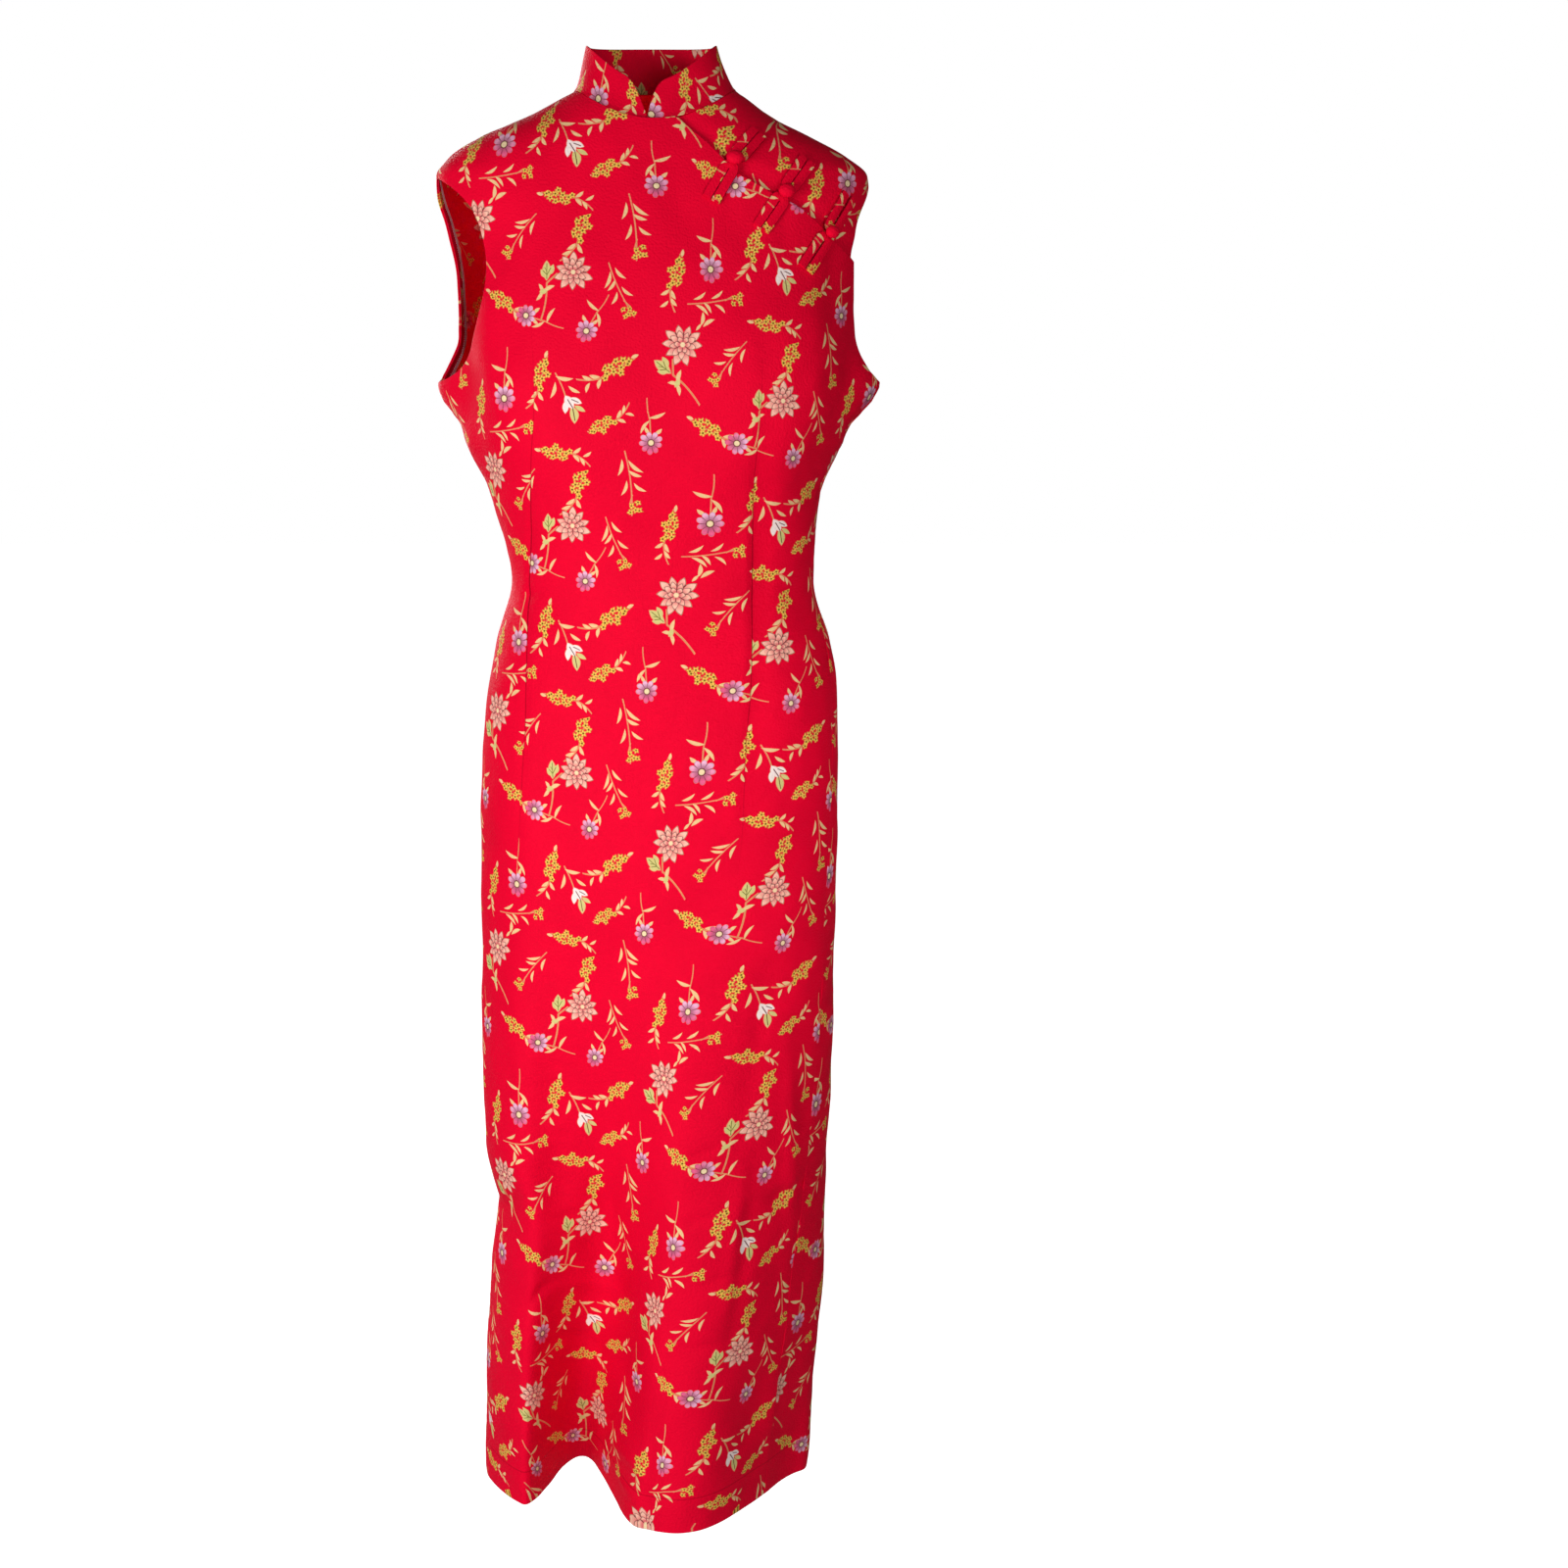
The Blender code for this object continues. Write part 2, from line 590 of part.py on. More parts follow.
def hairpin(ends, bend):
    """Route of two tubes side by side, joined by a bend at the knot, as seen from the front."""
    length = np.linalg.norm(bend - ends)
    forward = (bend - ends) / length
    sideways = np.array([-forward[1], forward[0]])
    half = (TUBE_WIDTH + SEAM_GAP * 2) / 2
    straight = forward * (length - half)
    steps = np.linspace(0, 1, STRAIGHT_STEPS + 1)
    route = [ends - sideways * half + straight * step for step in steps]
    route += [ends + straight + half * (forward * math.sin(turn) - sideways * math.cos(turn))
              for turn in np.linspace(0, math.pi, BEND_STEPS + 1)[1:-1]]
    route += [ends + sideways * half + straight * step for step in steps[::-1]]
    return np.array(route)


def tube_mesh(name, route):
    """Flat tube of even width along a route seen from the front, lying on the cloth."""
    sides = TUBE_SIDES
    turn = (np.arange(sides) + 0.5) * 2 * math.pi / sides
    wide = np.sign(np.cos(turn)) * np.sqrt(np.abs(np.cos(turn))) * TUBE_WIDTH / 2
    tall = np.sign(np.sin(turn)) * np.sqrt(np.abs(np.sin(turn))) * TUBE_THICK / 2
    centres, normals = [], []
    for across, height in route:
        place = place_at(across, height)
        base = cloth_point(np.array(place), np.array(height))
        normal = cloth_normal(view_angle(np.array(place), np.array(height)), np.array(height))
        lift = front_lift(base) + SEAM_GAP + TUBE_THICK / 2
        centres.append(base + normal * lift)
        normals.append(normal)
    centres, normals = np.array(centres), np.array(normals)
    tangents = np.gradient(centres, axis=0)
    points = []
    for centre, normal, tangent in zip(centres, normals, tangents):
        across = np.cross(tangent, normal)
        across = across / np.linalg.norm(across)
        points += [centre + across * w + normal * t for w, t in zip(wide, tall)]
    faces = []
    for ring in range(len(centres) - 1):
        for k in range(sides):
            here, there = ring * sides + k, ring * sides + (k + 1) % sides
            faces.append((here, here + sides, there + sides, there))
    faces.append(tuple(range(sides)))
    faces.append(tuple((len(centres) - 1) * sides + k for k in reversed(range(sides))))
    mesh = bpy.data.meshes.new(name)
    mesh.from_pydata([tuple(p) for p in points], [], faces)
    return mesh


def knot_mesh(name, across, height):
    """Flattened ball of the knot, standing on the two bends."""
    place = place_at(across, height)
    base = cloth_point(np.array(place), np.array(height))
    normal = cloth_normal(view_angle(np.array(place), np.array(height)), np.array(height))
    side = np.cross(np.array([0.0, 0.0, 1.0]), normal)
    side = side / np.linalg.norm(side)
    up = np.cross(normal, side)
    lift = front_lift(base) + TUBE_THICK + KNOT_GAP + KNOT_THICK / 2
    centre = base + normal * lift
    around, levels = KNOT_SIDES, KNOT_LEVELS
    points = [centre - normal * KNOT_THICK / 2]
    for level in range(1, levels):
        tilt = math.pi * level / levels
        for k in range(around):
            turn = 2 * math.pi * k / around
            flat = math.sin(tilt) * KNOT_WIDTH / 2
            points.append(centre + (side * math.cos(turn) + up * math.sin(turn)) * flat
                          - normal * math.cos(tilt) * KNOT_THICK / 2)
    points.append(centre + normal * KNOT_THICK / 2)
    faces = []
    for k in range(around):
        after = (k + 1) % around
        faces.append((0, 1 + after, 1 + k))
        for level in range(levels - 2):
            here, there = 1 + level * around, 1 + (level + 1) * around
            faces.append((here + k, here + after, there + after, there + k))
        last = 1 + (levels - 2) * around
        faces.append((last + k, last + after, len(points) - 1))
    mesh = bpy.data.meshes.new(name)
    mesh.from_pydata([tuple(p) for p in points], [], faces)
    return mesh


def add_frog(number, row):
    """One closure: the loop side, the knot side and the knot."""
    frog = dict(zip(FROG_COLUMNS, row))
    knot = np.array([frog["knot_across"], frog["knot_height"]])
    top = np.array([frog["top_across"], frog["top_height"]])
    low = np.array([frog["low_across"], frog["low_height"]])
    apart = TUBE_WIDTH / 2 + SEAM_GAP
    loop_bend = knot + (top - knot) / np.linalg.norm(top - knot) * apart
    tail_bend = knot + (low - knot) / np.linalg.norm(low - knot) * apart
    name = "frog_%d" % number
    loop = tube_mesh(name + "_loop", hairpin(top, loop_bend))
    add_piece(name + "_loop", loop, RED_PLAIN, FROG_ROUGHNESS, FROG_SMOOTHING)
    tails = tube_mesh(name + "_tails", hairpin(low, tail_bend))
    add_piece(name + "_tails", tails, RED_PLAIN, FROG_ROUGHNESS, FROG_SMOOTHING)
    add_piece(name + "_knot", knot_mesh(name + "_knot", *knot), RED_PLAIN, FROG_ROUGHNESS, FROG_SMOOTHING)


def build():
    """Make the whole dress."""
    for old in list(bpy.data.objects):
        bpy.data.objects.remove(old, do_unlink=True)
    add_panel("front_panel", front_grid(), front_lift)
    add_panel("back_panel", back_grid())
    add_panel("shoulder_piece", shoulder_piece_grid(), tucked_lift)
    add_collar()
    for side, word in ((-1, "left"), (1, "right")):
        add_turning(side, word)
    for number, row in enumerate(FROGS, start=1):
        add_frog(number, row)


build()
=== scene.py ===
# Looks of a long sleeveless cheongsam: printed crepe, standing collar, three frog closures
import math

import bpy
import mathutils
import numpy as np
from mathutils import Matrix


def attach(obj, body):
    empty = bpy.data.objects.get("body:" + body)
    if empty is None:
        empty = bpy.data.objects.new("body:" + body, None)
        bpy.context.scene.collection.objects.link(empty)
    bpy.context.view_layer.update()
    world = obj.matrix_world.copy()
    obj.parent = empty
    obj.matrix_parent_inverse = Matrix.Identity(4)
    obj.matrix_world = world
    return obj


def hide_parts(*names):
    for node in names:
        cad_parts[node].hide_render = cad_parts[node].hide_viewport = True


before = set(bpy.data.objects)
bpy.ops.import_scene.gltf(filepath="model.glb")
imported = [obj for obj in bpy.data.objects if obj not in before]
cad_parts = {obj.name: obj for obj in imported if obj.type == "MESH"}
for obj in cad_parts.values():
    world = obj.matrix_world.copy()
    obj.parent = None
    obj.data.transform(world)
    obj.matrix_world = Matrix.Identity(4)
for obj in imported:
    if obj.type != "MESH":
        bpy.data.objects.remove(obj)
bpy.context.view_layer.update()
print("frame loaded")

# The worn shape, the same as the solids: metres, heights counted from the neck points
shape = {
    "hem": -1.370,
    "pit": -0.265,
    "tip": -0.078,
    "neckDrop": 0.031,
    "neckRise": 0.004,
    "openingEnd": -0.155,
    "underlap": 0.016,
    "seamGap": 0.0003,
    "cloth": 0.0011,
    "overlapLift": 0.0018,
    "overlapFade": 0.060,
    "tuckDepth": 0.0020,
    "tuckFade": 0.020,
    "tuckStart": 1.25,
    "foldSpread": 0.6,
    "foldGrowth": 1.3,
    "foldMost": 1.05,
    "foldEase": 4,
    "degreesPerMetre": 600.0,
}
ringNames = ("height", "left", "right", "front", "back", "full", "leftSeam", "rightSeam")
rings = (
    (0.012, -0.0710, 0.0700, 0.046, 0.056, 0.00, -95, 85),
    (0.000, -0.0740, 0.0750, 0.051, 0.058, 0.00, -94, 86),
    (-0.007, -0.0870, 0.0850, 0.053, 0.062, 0.00, -93, 87),
    (-0.024, -0.1200, 0.1090, 0.060, 0.071, 0.00, -91, 89),
    (-0.041, -0.1600, 0.1440, 0.067, 0.080, 0.00, -88, 92),
    (-0.059, -0.1900, 0.1780, 0.074, 0.087, 0.00, -85, 95),
    (-0.076, -0.2035, 0.1980, 0.080, 0.093, 0.00, -83, 97),
    (-0.094, -0.2035, 0.2000, 0.086, 0.099, 0.01, -81, 99),
    (-0.120, -0.1990, 0.1950, 0.094, 0.105, 0.02, -80, 100),
    (-0.174, -0.1900, 0.1910, 0.109, 0.110, 0.03, -80, 100),
    (-0.229, -0.1880, 0.1950, 0.116, 0.108, 0.04, -84, 96),
    (-0.265, -0.1880, 0.1940, 0.117, 0.104, 0.04, -88, 92),
    (-0.310, -0.1820, 0.1830, 0.115, 0.098, 0.04, -94, 86),
    (-0.366, -0.1580, 0.1590, 0.106, 0.088, 0.04, -99, 81),
    (-0.422, -0.1420, 0.1535, 0.094, 0.083, 0.04, -103, 77),
    (-0.450, -0.1380, 0.1535, 0.093, 0.084, 0.04, -104, 76),
    (-0.508, -0.1525, 0.1690, 0.098, 0.098, 0.04, -104, 75),
    (-0.566, -0.1630, 0.1780, 0.104, 0.113, 0.04, -103, 73),
    (-0.640, -0.1700, 0.1800, 0.108, 0.121, 0.04, -102, 71),
    (-0.760, -0.1715, 0.1795, 0.112, 0.117, 0.04, -101, 67),
    (-0.894, -0.1730, 0.1790, 0.118, 0.112, 0.04, -99, 63),
    (-1.019, -0.1715, 0.1755, 0.124, 0.111, 0.04, -97, 58),
    (-1.082, -0.1600, 0.1740, 0.127, 0.112, 0.04, -95, 54),
    (-1.146, -0.1665, 0.1735, 0.130, 0.113, 0.04, -94, 50),
    (-1.276, -0.1745, 0.1650, 0.136, 0.117, 0.04, -91, 46),
    (-1.370, -0.1765, 0.1600, 0.140, 0.122, 0.04, -90, 44),
)
foldNames = ("start", "angleAtStart", "angleAtHem", "leftReach", "rightReach", "depth")
folds = (
    (-0.720, -15, -22, 25, 20, -0.129),
    (-0.740, 14, 12, 18, 24, 0.015),
    (-0.800, 58, 56, 38, 32, -0.034),
    (-0.800, 122, 118, 20, 22, 0.010),
    (-0.840, 152, 147, 16, 15, -0.014),
    (-0.780, 180, 174, 16, 16, 0.012),
    (-0.860, 208, 202, 16, 15, -0.013),
    (-0.800, 236, 232, 18, 18, 0.010),
)
swellNames = ("height", "angle", "heightReach", "angleReach", "depth")
swells = (
    (-0.275, -34, 0.150, 36, 0.014),
    (-0.275, 34, 0.150, 36, 0.014),
    (-0.266, -90, 0.046, 30, 0.017),
    (-0.266, 90, 0.046, 30, 0.020),
    (-0.170, 148, 0.110, 34, 0.007),
    (-0.170, 212, 0.110, 34, 0.007),
    (-0.640, 150, 0.130, 38, 0.010),
    (-0.640, 210, 0.130, 38, 0.010),
)
armholeNames = ("height", "front", "back")
armholeCut = (
    (-0.265, 0, 0),
    (-0.262, 8, 6),
    (-0.254, 15, 9.5),
    (-0.238, 20.5, 13),
    (-0.212, 24.5, 16.5),
    (-0.180, 27, 19.5),
    (-0.148, 28, 20.5),
    (-0.128, 27.5, 19),
    (-0.110, 25, 15.5),
    (-0.095, 19.5, 11),
    (-0.084, 10.5, 5.5),
    (-0.078, 0, 0),
)
openingPath = (  # across and height, seen from the front
    (0.022, -0.0310),
    (0.042, -0.0490),
    (0.067, -0.0750),
    (0.086, -0.0865),
    (0.107, -0.0980),
    (0.126, -0.1070),
    (0.149, -0.1240),
    (0.166, -0.1400),
)


def column(rows, names, name):
    return np.array([row[names.index(name)] for row in rows], float)


def unit(vectors):
    return vectors / np.linalg.norm(vectors, axis=-1, keepdims=True)


def runOf(points):  # distance along a line of points
    return np.concatenate([[0], np.cumsum(np.linalg.norm(np.diff(points, axis=0), axis=-1))])


def stretched(values, count):  # the same run of values at another number of even steps
    return np.stack([np.interp(np.linspace(0, 1, count), np.linspace(0, 1, len(values)), values[:, i])
                     for i in range(values.shape[1])], axis=1)


def smoothCurve(places, values):  # never overshoots its points
    order = np.argsort(places)
    places, values = places[order], values[order]
    steps = np.diff(places)
    secants = np.diff(values) / steps
    slopes = np.zeros(len(values))
    slopes[0], slopes[-1] = secants[0], secants[-1]
    for i in range(1, len(values) - 1):
        if secants[i - 1] * secants[i] > 0:
            near = 2 * steps[i] + steps[i - 1]
            far = steps[i] + 2 * steps[i - 1]
            slopes[i] = (near + far) / (near / secants[i - 1] + far / secants[i])

    def read(where):
        where = np.clip(where, places[0], places[-1])
        i = np.clip(np.searchsorted(places, where) - 1, 0, len(places) - 2)
        step = places[i + 1] - places[i]
        t = (where - places[i]) / step
        return ((1 + 2 * t) * (1 - t) ** 2 * values[i] + t * (1 - t) ** 2 * step * slopes[i]
                + t * t * (3 - 2 * t) * values[i + 1] + t * t * (t - 1) * step * slopes[i + 1])

    return read


ring = {name: smoothCurve(column(rings, ringNames, "height"), column(rings, ringNames, name))
        for name in ringNames[1:]}
neckHalfWidth = float(ring["right"](0.0) - ring["left"](0.0)) / 2
neckCentre = float(ring["right"](0.0) + ring["left"](0.0)) / 2
nudge = {"turn": 0.2, "place": 0.1, "height": 0.0005}  # the small steps that slopes are read over


def bell(u):
    return np.where(np.abs(u) < 1, np.cos(np.clip(u, -1, 1) * math.pi / 2) ** 2, 0.0)


def turnBetween(angle, centre):
    return (angle - centre + 180) % 360 - 180


def foldDepth(angle, height):
    total = np.zeros(np.broadcast(angle, height).shape)
    for row in folds:
        fold = dict(zip(foldNames, row))
        grown = np.clip((fold["start"] - height) / (fold["start"] - shape["hem"]), 0, shape["foldMost"])
        away = turnBetween(angle, fold["angleAtStart"] + (fold["angleAtHem"] - fold["angleAtStart"]) * grown)
        reach = np.where(away < 0, fold["leftReach"], fold["rightReach"])
        reach = reach * (1 + shape["foldSpread"] * (1 - grown))
        total = total + fold["depth"] * grown ** shape["foldGrowth"] * bell(away / reach)
    return total


def swellDepth(angle, height):
    total = np.zeros(np.broadcast(angle, height).shape)
    for row in swells:
        swell = dict(zip(swellNames, row))
        total = total + (swell["depth"] * bell((height - swell["height"]) / swell["heightReach"])
                         * bell(turnBetween(angle, swell["angle"]) / swell["angleReach"]))
    return total


def figurePoint(angle, height):
    sine, cosine = np.sin(np.radians(angle)), np.cos(np.radians(angle))
    left, right = ring["left"](height), ring["right"](height)
    depth = np.where(cosine > 0, ring["front"](height), ring["back"](height))
    full = ring["full"](height)
    out = swellDepth(angle, height)
    x = (left + right) / 2 + (right - left) / 2 * sine * (1 + full * cosine ** 2) + out * sine
    y = -depth * cosine * (1 + full * sine ** 2) - out * cosine
    y = y - foldDepth(angle, height) * np.tanh(shape["foldEase"] * cosine)
    return np.stack([x, y, height + 0 * x], axis=-1)


def viewAngle(place, height):  # place: -90 and 90 are the side seams, 0 the front, 180 the back
    left, right = ring["leftSeam"](height), ring["rightSeam"](height)
    front = left + (right - left) * (place + 90) / 180
    back = right + (left + 360 - right) * (place - 90) / 180
    return np.where(place > 90, back, front)


def clothNormal(angle, height):
    around = figurePoint(angle + nudge["turn"], height) - figurePoint(angle - nudge["turn"], height)
    up = figurePoint(angle, height + nudge["height"]) - figurePoint(angle, height - nudge["height"])
    return unit(np.cross(around, up))


def clothPoint(place, height, lift=0.0):
    angle = viewAngle(place, height)
    return figurePoint(angle, height) + clothNormal(angle, height) * np.asarray(lift)[..., None]


def placeAt(across, height):
    low, high = -90.0, 90.0
    for _ in range(40):
        middle = (low + high) / 2
        if figurePoint(viewAngle(middle, height), height)[0] < across:
            low = middle
        else:
            high = middle
    return (low + high) / 2


def along(points, fractions):
    points = np.asarray(points, float)
    gaps = np.linalg.norm(np.diff(points, axis=0) * [1.0, shape["degreesPerMetre"]], axis=1)
    places = np.concatenate([[0], np.cumsum(gaps)]) / gaps.sum()
    return np.stack([smoothCurve(places, points[:, i])(np.asarray(fractions)) for i in (0, 1)], axis=1)


def armholeEdge(side, face, fractions, low=shape["pit"], high=shape["tip"]):
    height = column(armholeCut, armholeNames, "height")
    curve = smoothCurve(height, column(armholeCut, armholeNames, face))
    heights = np.array([low] + [h for h in height if low < h < high] + [high])
    places = 90 + (-1 if face == "front" else 1) * curve(heights)
    if side < 0:
        places = -places if face == "front" else 360 - places
    return along(np.stack([places, heights], axis=1), fractions)


def shoulderSeam(side, face, fractions):
    place = 90 * side if face == "front" or side > 0 else 270
    heights = shape["tip"] * (1 - np.asarray(fractions))
    return np.stack([np.full(len(heights), float(place)), heights], axis=1)


def neckPlace(turn):
    cosine = math.cos(math.radians(turn))
    drop = -shape["neckDrop"] * cosine ** 2 if cosine > 0 else shape["neckRise"] * cosine ** 2
    across = neckCentre + neckHalfWidth * math.sin(math.radians(turn))
    if cosine > 0:
        return placeAt(across, drop), drop
    centre = (ring["left"](drop) + ring["right"](drop)) / 2
    half = (ring["right"](drop) - ring["left"](drop)) / 2
    angle = 180 - math.degrees(math.asin(max(-1.0, min(1.0, (across - centre) / half))))
    left, right = ring["leftSeam"](drop), ring["rightSeam"](drop)
    return 90 + 180 * (angle - right) / (left + 360 - right), drop


openingTurn = math.degrees(math.asin((openingPath[0][0] - neckCentre) / neckHalfWidth))
opening = [(placeAt(across, height), height) for across, height in openingPath]
opening = opening + [tuple(armholeEdge(1, "front", [1.0], high=shape["openingEnd"])[0])]
openingSeen = np.array([clothPoint(np.array(place), np.array(height))[[0, 2]]
                        for place, height in along(opening, np.linspace(0, 1, 49))])


def offOpening(points):
    seen = points[..., None, [0, 2]] - openingSeen
    return np.sqrt((seen ** 2).sum(axis=-1)).min(axis=-1)


def frontLift(points):
    fade = np.clip(1 - offOpening(points) / shape["overlapFade"], 0, 1)
    return shape["overlapLift"] * fade * fade * (3 - 2 * fade)


def tuckedLift(points):
    line = np.interp(points[..., 0], openingSeen[:, 0], openingSeen[:, 1])
    under = np.clip(shape["tuckStart"] - (points[..., 2] - line) / shape["tuckFade"], 0, 1)
    return -shape["tuckDepth"] * under * under * (3 - 2 * under)


def level(points):
    return np.zeros(points.shape[:-1])


def net(bottom, top, left, right, steps):
    across = np.linspace(0, 1, len(bottom))[None, :, None]
    up = steps[:, None, None]
    sides = (1 - across) * left[:, None] + across * right[:, None]
    ends = (1 - up) * bottom[None] + up * top[None]
    corners = ((1 - across) * (1 - up) * bottom[0] + across * (1 - up) * bottom[-1]
               + (1 - across) * up * top[0] + across * up * top[-1])
    return sides + ends - corners


evening = {"rounds": 14, "damping": 1.001, "placeStep": 5, "heightStep": 0.01}


def spreadNet(bottom, top, left, right, steps):  # evens the grid out over the worn cloth
    grid = net(bottom, top, left, right, steps)
    worn = clothPoint(grid[..., 0], grid[..., 1])
    wanted = net(worn[0], worn[-1], worn[:, 0], worn[:, -1], steps)[1:-1, 1:-1]
    place, height = grid[1:-1, 1:-1, 0], grid[1:-1, 1:-1, 1]
    for _ in range(evening["rounds"]):
        here = clothPoint(place, height)
        byPlace = (clothPoint(place + nudge["place"], height) - here) / nudge["place"]
        byHeight = (clothPoint(place, height + nudge["height"]) - here) / nudge["height"]
        miss = wanted - here
        a = (byPlace * byPlace).sum(axis=-1) * evening["damping"]
        b = (byPlace * byHeight).sum(axis=-1)
        c = (byHeight * byHeight).sum(axis=-1) * evening["damping"]
        p = (byPlace * miss).sum(axis=-1)
        q = (byHeight * miss).sum(axis=-1)
        spread = a * c - b * b
        place += np.clip((c * p - b * q) / spread, -evening["placeStep"], evening["placeStep"])
        height += np.clip((a * q - b * p) / spread, -evening["heightStep"], evening["heightStep"])
    return grid


# Grid of the big panels, finer than the solids
gridFit = {"rowsBelow": 260, "rowsAbove": 76, "shoulder": 34, "neck": 30, "opening": 48, "even": 0.7,
           "eased": 0.3}


def belowPit(places):
    steps = np.linspace(0, 1, gridFit["rowsBelow"] + 1)[:-1]
    heights = shape["hem"] + (shape["pit"] - shape["hem"]) * steps
    return np.stack(np.meshgrid(places, heights), axis=-1)


def upTheArmhole():
    even = np.linspace(0, 1, gridFit["rowsAbove"] + 1)
    return gridFit["even"] * even + gridFit["eased"] * (1 - np.cos(math.pi * even)) / 2


def frontGrid():
    places = np.linspace(-90, 90, gridFit["shoulder"] + gridFit["neck"] + gridFit["opening"] + 1)
    shoulder = shoulderSeam(-1, "front", np.linspace(0, 1, gridFit["shoulder"] + 1)[:-1])
    neck = np.array([neckPlace(turn) for turn in np.linspace(-90, openingTurn, gridFit["neck"] + 1)[:-1]])
    slant = along(opening, np.linspace(0, 1, gridFit["opening"] + 1))
    up = upTheArmhole()
    bottom = np.stack([places, np.full(len(places), shape["pit"])], axis=1)
    left = armholeEdge(-1, "front", up)
    right = armholeEdge(1, "front", up, high=shape["openingEnd"])
    return np.concatenate([belowPit(places),
                           spreadNet(bottom, np.concatenate([shoulder, neck, slant]), left, right, up)])


def backGrid():
    neckColumns = gridFit["neck"] + gridFit["opening"] - gridFit["shoulder"]
    places = np.linspace(90, 270, gridFit["shoulder"] + gridFit["neck"] + gridFit["opening"] + 1)
    rightShoulder = shoulderSeam(1, "back", np.linspace(0, 1, gridFit["shoulder"] + 1)[:-1])
    neck = np.array([neckPlace(turn) for turn in np.linspace(90.001, 269.999, neckColumns + 1)[:-1]])
    leftShoulder = shoulderSeam(-1, "back", np.linspace(1, 0, gridFit["shoulder"] + 1))
    up = upTheArmhole()
    bottom = np.stack([places, np.full(len(places), shape["pit"])], axis=1)
    top = np.concatenate([rightShoulder, neck, leftShoulder])
    return np.concatenate([belowPit(places), spreadNet(bottom, top, armholeEdge(1, "back", up),
                                                       armholeEdge(-1, "back", up), up)])


def shoulderPieceGrid(columns, rows):
    tuckedTurn = openingTurn - math.degrees(shape["underlap"] / neckHalfWidth)
    up = np.linspace(0, 1, rows + 1)
    neck = np.array([neckPlace(turn) for turn in tuckedTurn + (90 - tuckedTurn) * up])
    across = np.linspace(0, 1, columns + 1)
    tucked = along(opening, across)
    tucked[:, 1] = tucked[:, 1] - shape["underlap"]
    tucked[0] = neck[0]
    side = armholeEdge(1, "front", up, low=shape["openingEnd"] - shape["underlap"])
    tucked[-1] = side[0]
    return spreadNet(tucked, shoulderSeam(1, "front", 1 - across), neck, side, up)


# Where the print sits on the flat cloth; the front follows four upright lines of flowers
printMap = {"pitchAcross": 0.192, "pitchDown": 0.230, "backShift": 0.060, "pitchAboveBust": 0.226,
            "columns": 361, "rows": 240, "top": 0.012}
flowerLines = (  # height, then how far across the lines run that are at flowerPlaces on the flat cloth
    (-0.100, -0.0715, 0.0290, 0.0530, 0.1190),
    (-0.231, -0.0725, 0.0250, 0.0545, 0.1165),
    (-0.457, -0.0740, 0.0190, 0.0545, 0.1190),
    (-0.688, -0.0710, 0.0150, 0.0450, 0.1180),
    (-0.917, -0.0675, 0.0090, 0.0310, 0.1050),
    (-1.150, -0.0625, 0.0010, 0.0165, 0.0880),
    (-1.364, -0.0550, -0.0080, 0.0060, 0.0750),
)
flowerPlaces = (-0.097, 0.0, 0.032, 0.095)
flowerHeights = tuple(row[0] for row in flowerLines[:0:-1])  # one pitch apart on the line at 0
sampleHeights = np.linspace(shape["hem"], printMap["top"], printMap["rows"])


def flatTable(first, last):
    places = np.linspace(first, last, printMap["columns"])
    gridPlaces, gridHeights = np.meshgrid(places, sampleHeights)
    points = figurePoint(viewAngle(gridPlaces, gridHeights), gridHeights)
    steps = np.linalg.norm(np.diff(points, axis=1), axis=-1)
    arcs = np.concatenate([np.zeros((len(points), 1)), np.cumsum(steps, axis=1)], axis=1)
    if first > 0:
        return places, arcs - arcs[:, len(places) // 2, None] + printMap["backShift"]
    lines = np.array(flowerLines)
    flat = np.zeros(arcs.shape)
    for row, height in enumerate(sampleHeights):
        across = [np.interp(-height, -lines[:, 0], lines[:, i]) for i in range(1, 5)]
        lineArcs = np.interp(across, points[row, :, 0], arcs[row])
        flat[row] = np.interp(arcs[row], lineArcs, flowerPlaces)
        before, after = arcs[row] < lineArcs[0], arcs[row] > lineArcs[-1]
        flat[row, before] = flowerPlaces[0] + (arcs[row] - lineArcs[0])[before]
        flat[row, after] = flowerPlaces[-1] + (arcs[row] - lineArcs[-1])[after]
    return places, flat


flatTables = {"front": flatTable(-90, 90), "back": flatTable(90.0001, 270)}


def clothMap(grid, face):  # position on the flat cloth, in metres
    place, height = grid[..., 0], grid[..., 1]
    places, flat = flatTables[face]
    row = np.interp(height, sampleHeights, np.arange(len(sampleHeights)))
    col = np.interp(place, places, np.arange(len(places)))
    i = np.clip(row.astype(int), 0, len(sampleHeights) - 2)
    j = np.clip(col.astype(int), 0, len(places) - 2)
    p, q = row - i, col - j
    across = ((1 - p) * ((1 - q) * flat[i, j] + q * flat[i, j + 1])
              + p * ((1 - q) * flat[i + 1, j] + q * flat[i + 1, j + 1]))
    pitches = np.interp(height, flowerHeights, np.arange(1 - len(flowerHeights), 1))
    above = (height - flowerHeights[-1]) / printMap["pitchAboveBust"]
    pitches = np.where(height > flowerHeights[-1], above, pitches)
    return np.stack([across, pitches * printMap["pitchDown"]], axis=-1)


print("shape of the worn cloth ready")


# Shader helpers
def link(tree, value, socket):
    if isinstance(value, bpy.types.NodeSocket):
        tree.links.new(value, socket)
    else:
        socket.default_value = value


def maths(tree, kind, *values, clamp=False):
    node = tree.nodes.new("ShaderNodeMath")
    node.operation, node.use_clamp = kind, clamp
    for value, socket in zip(values, node.inputs):
        link(tree, value, socket)
    return node.outputs[0]


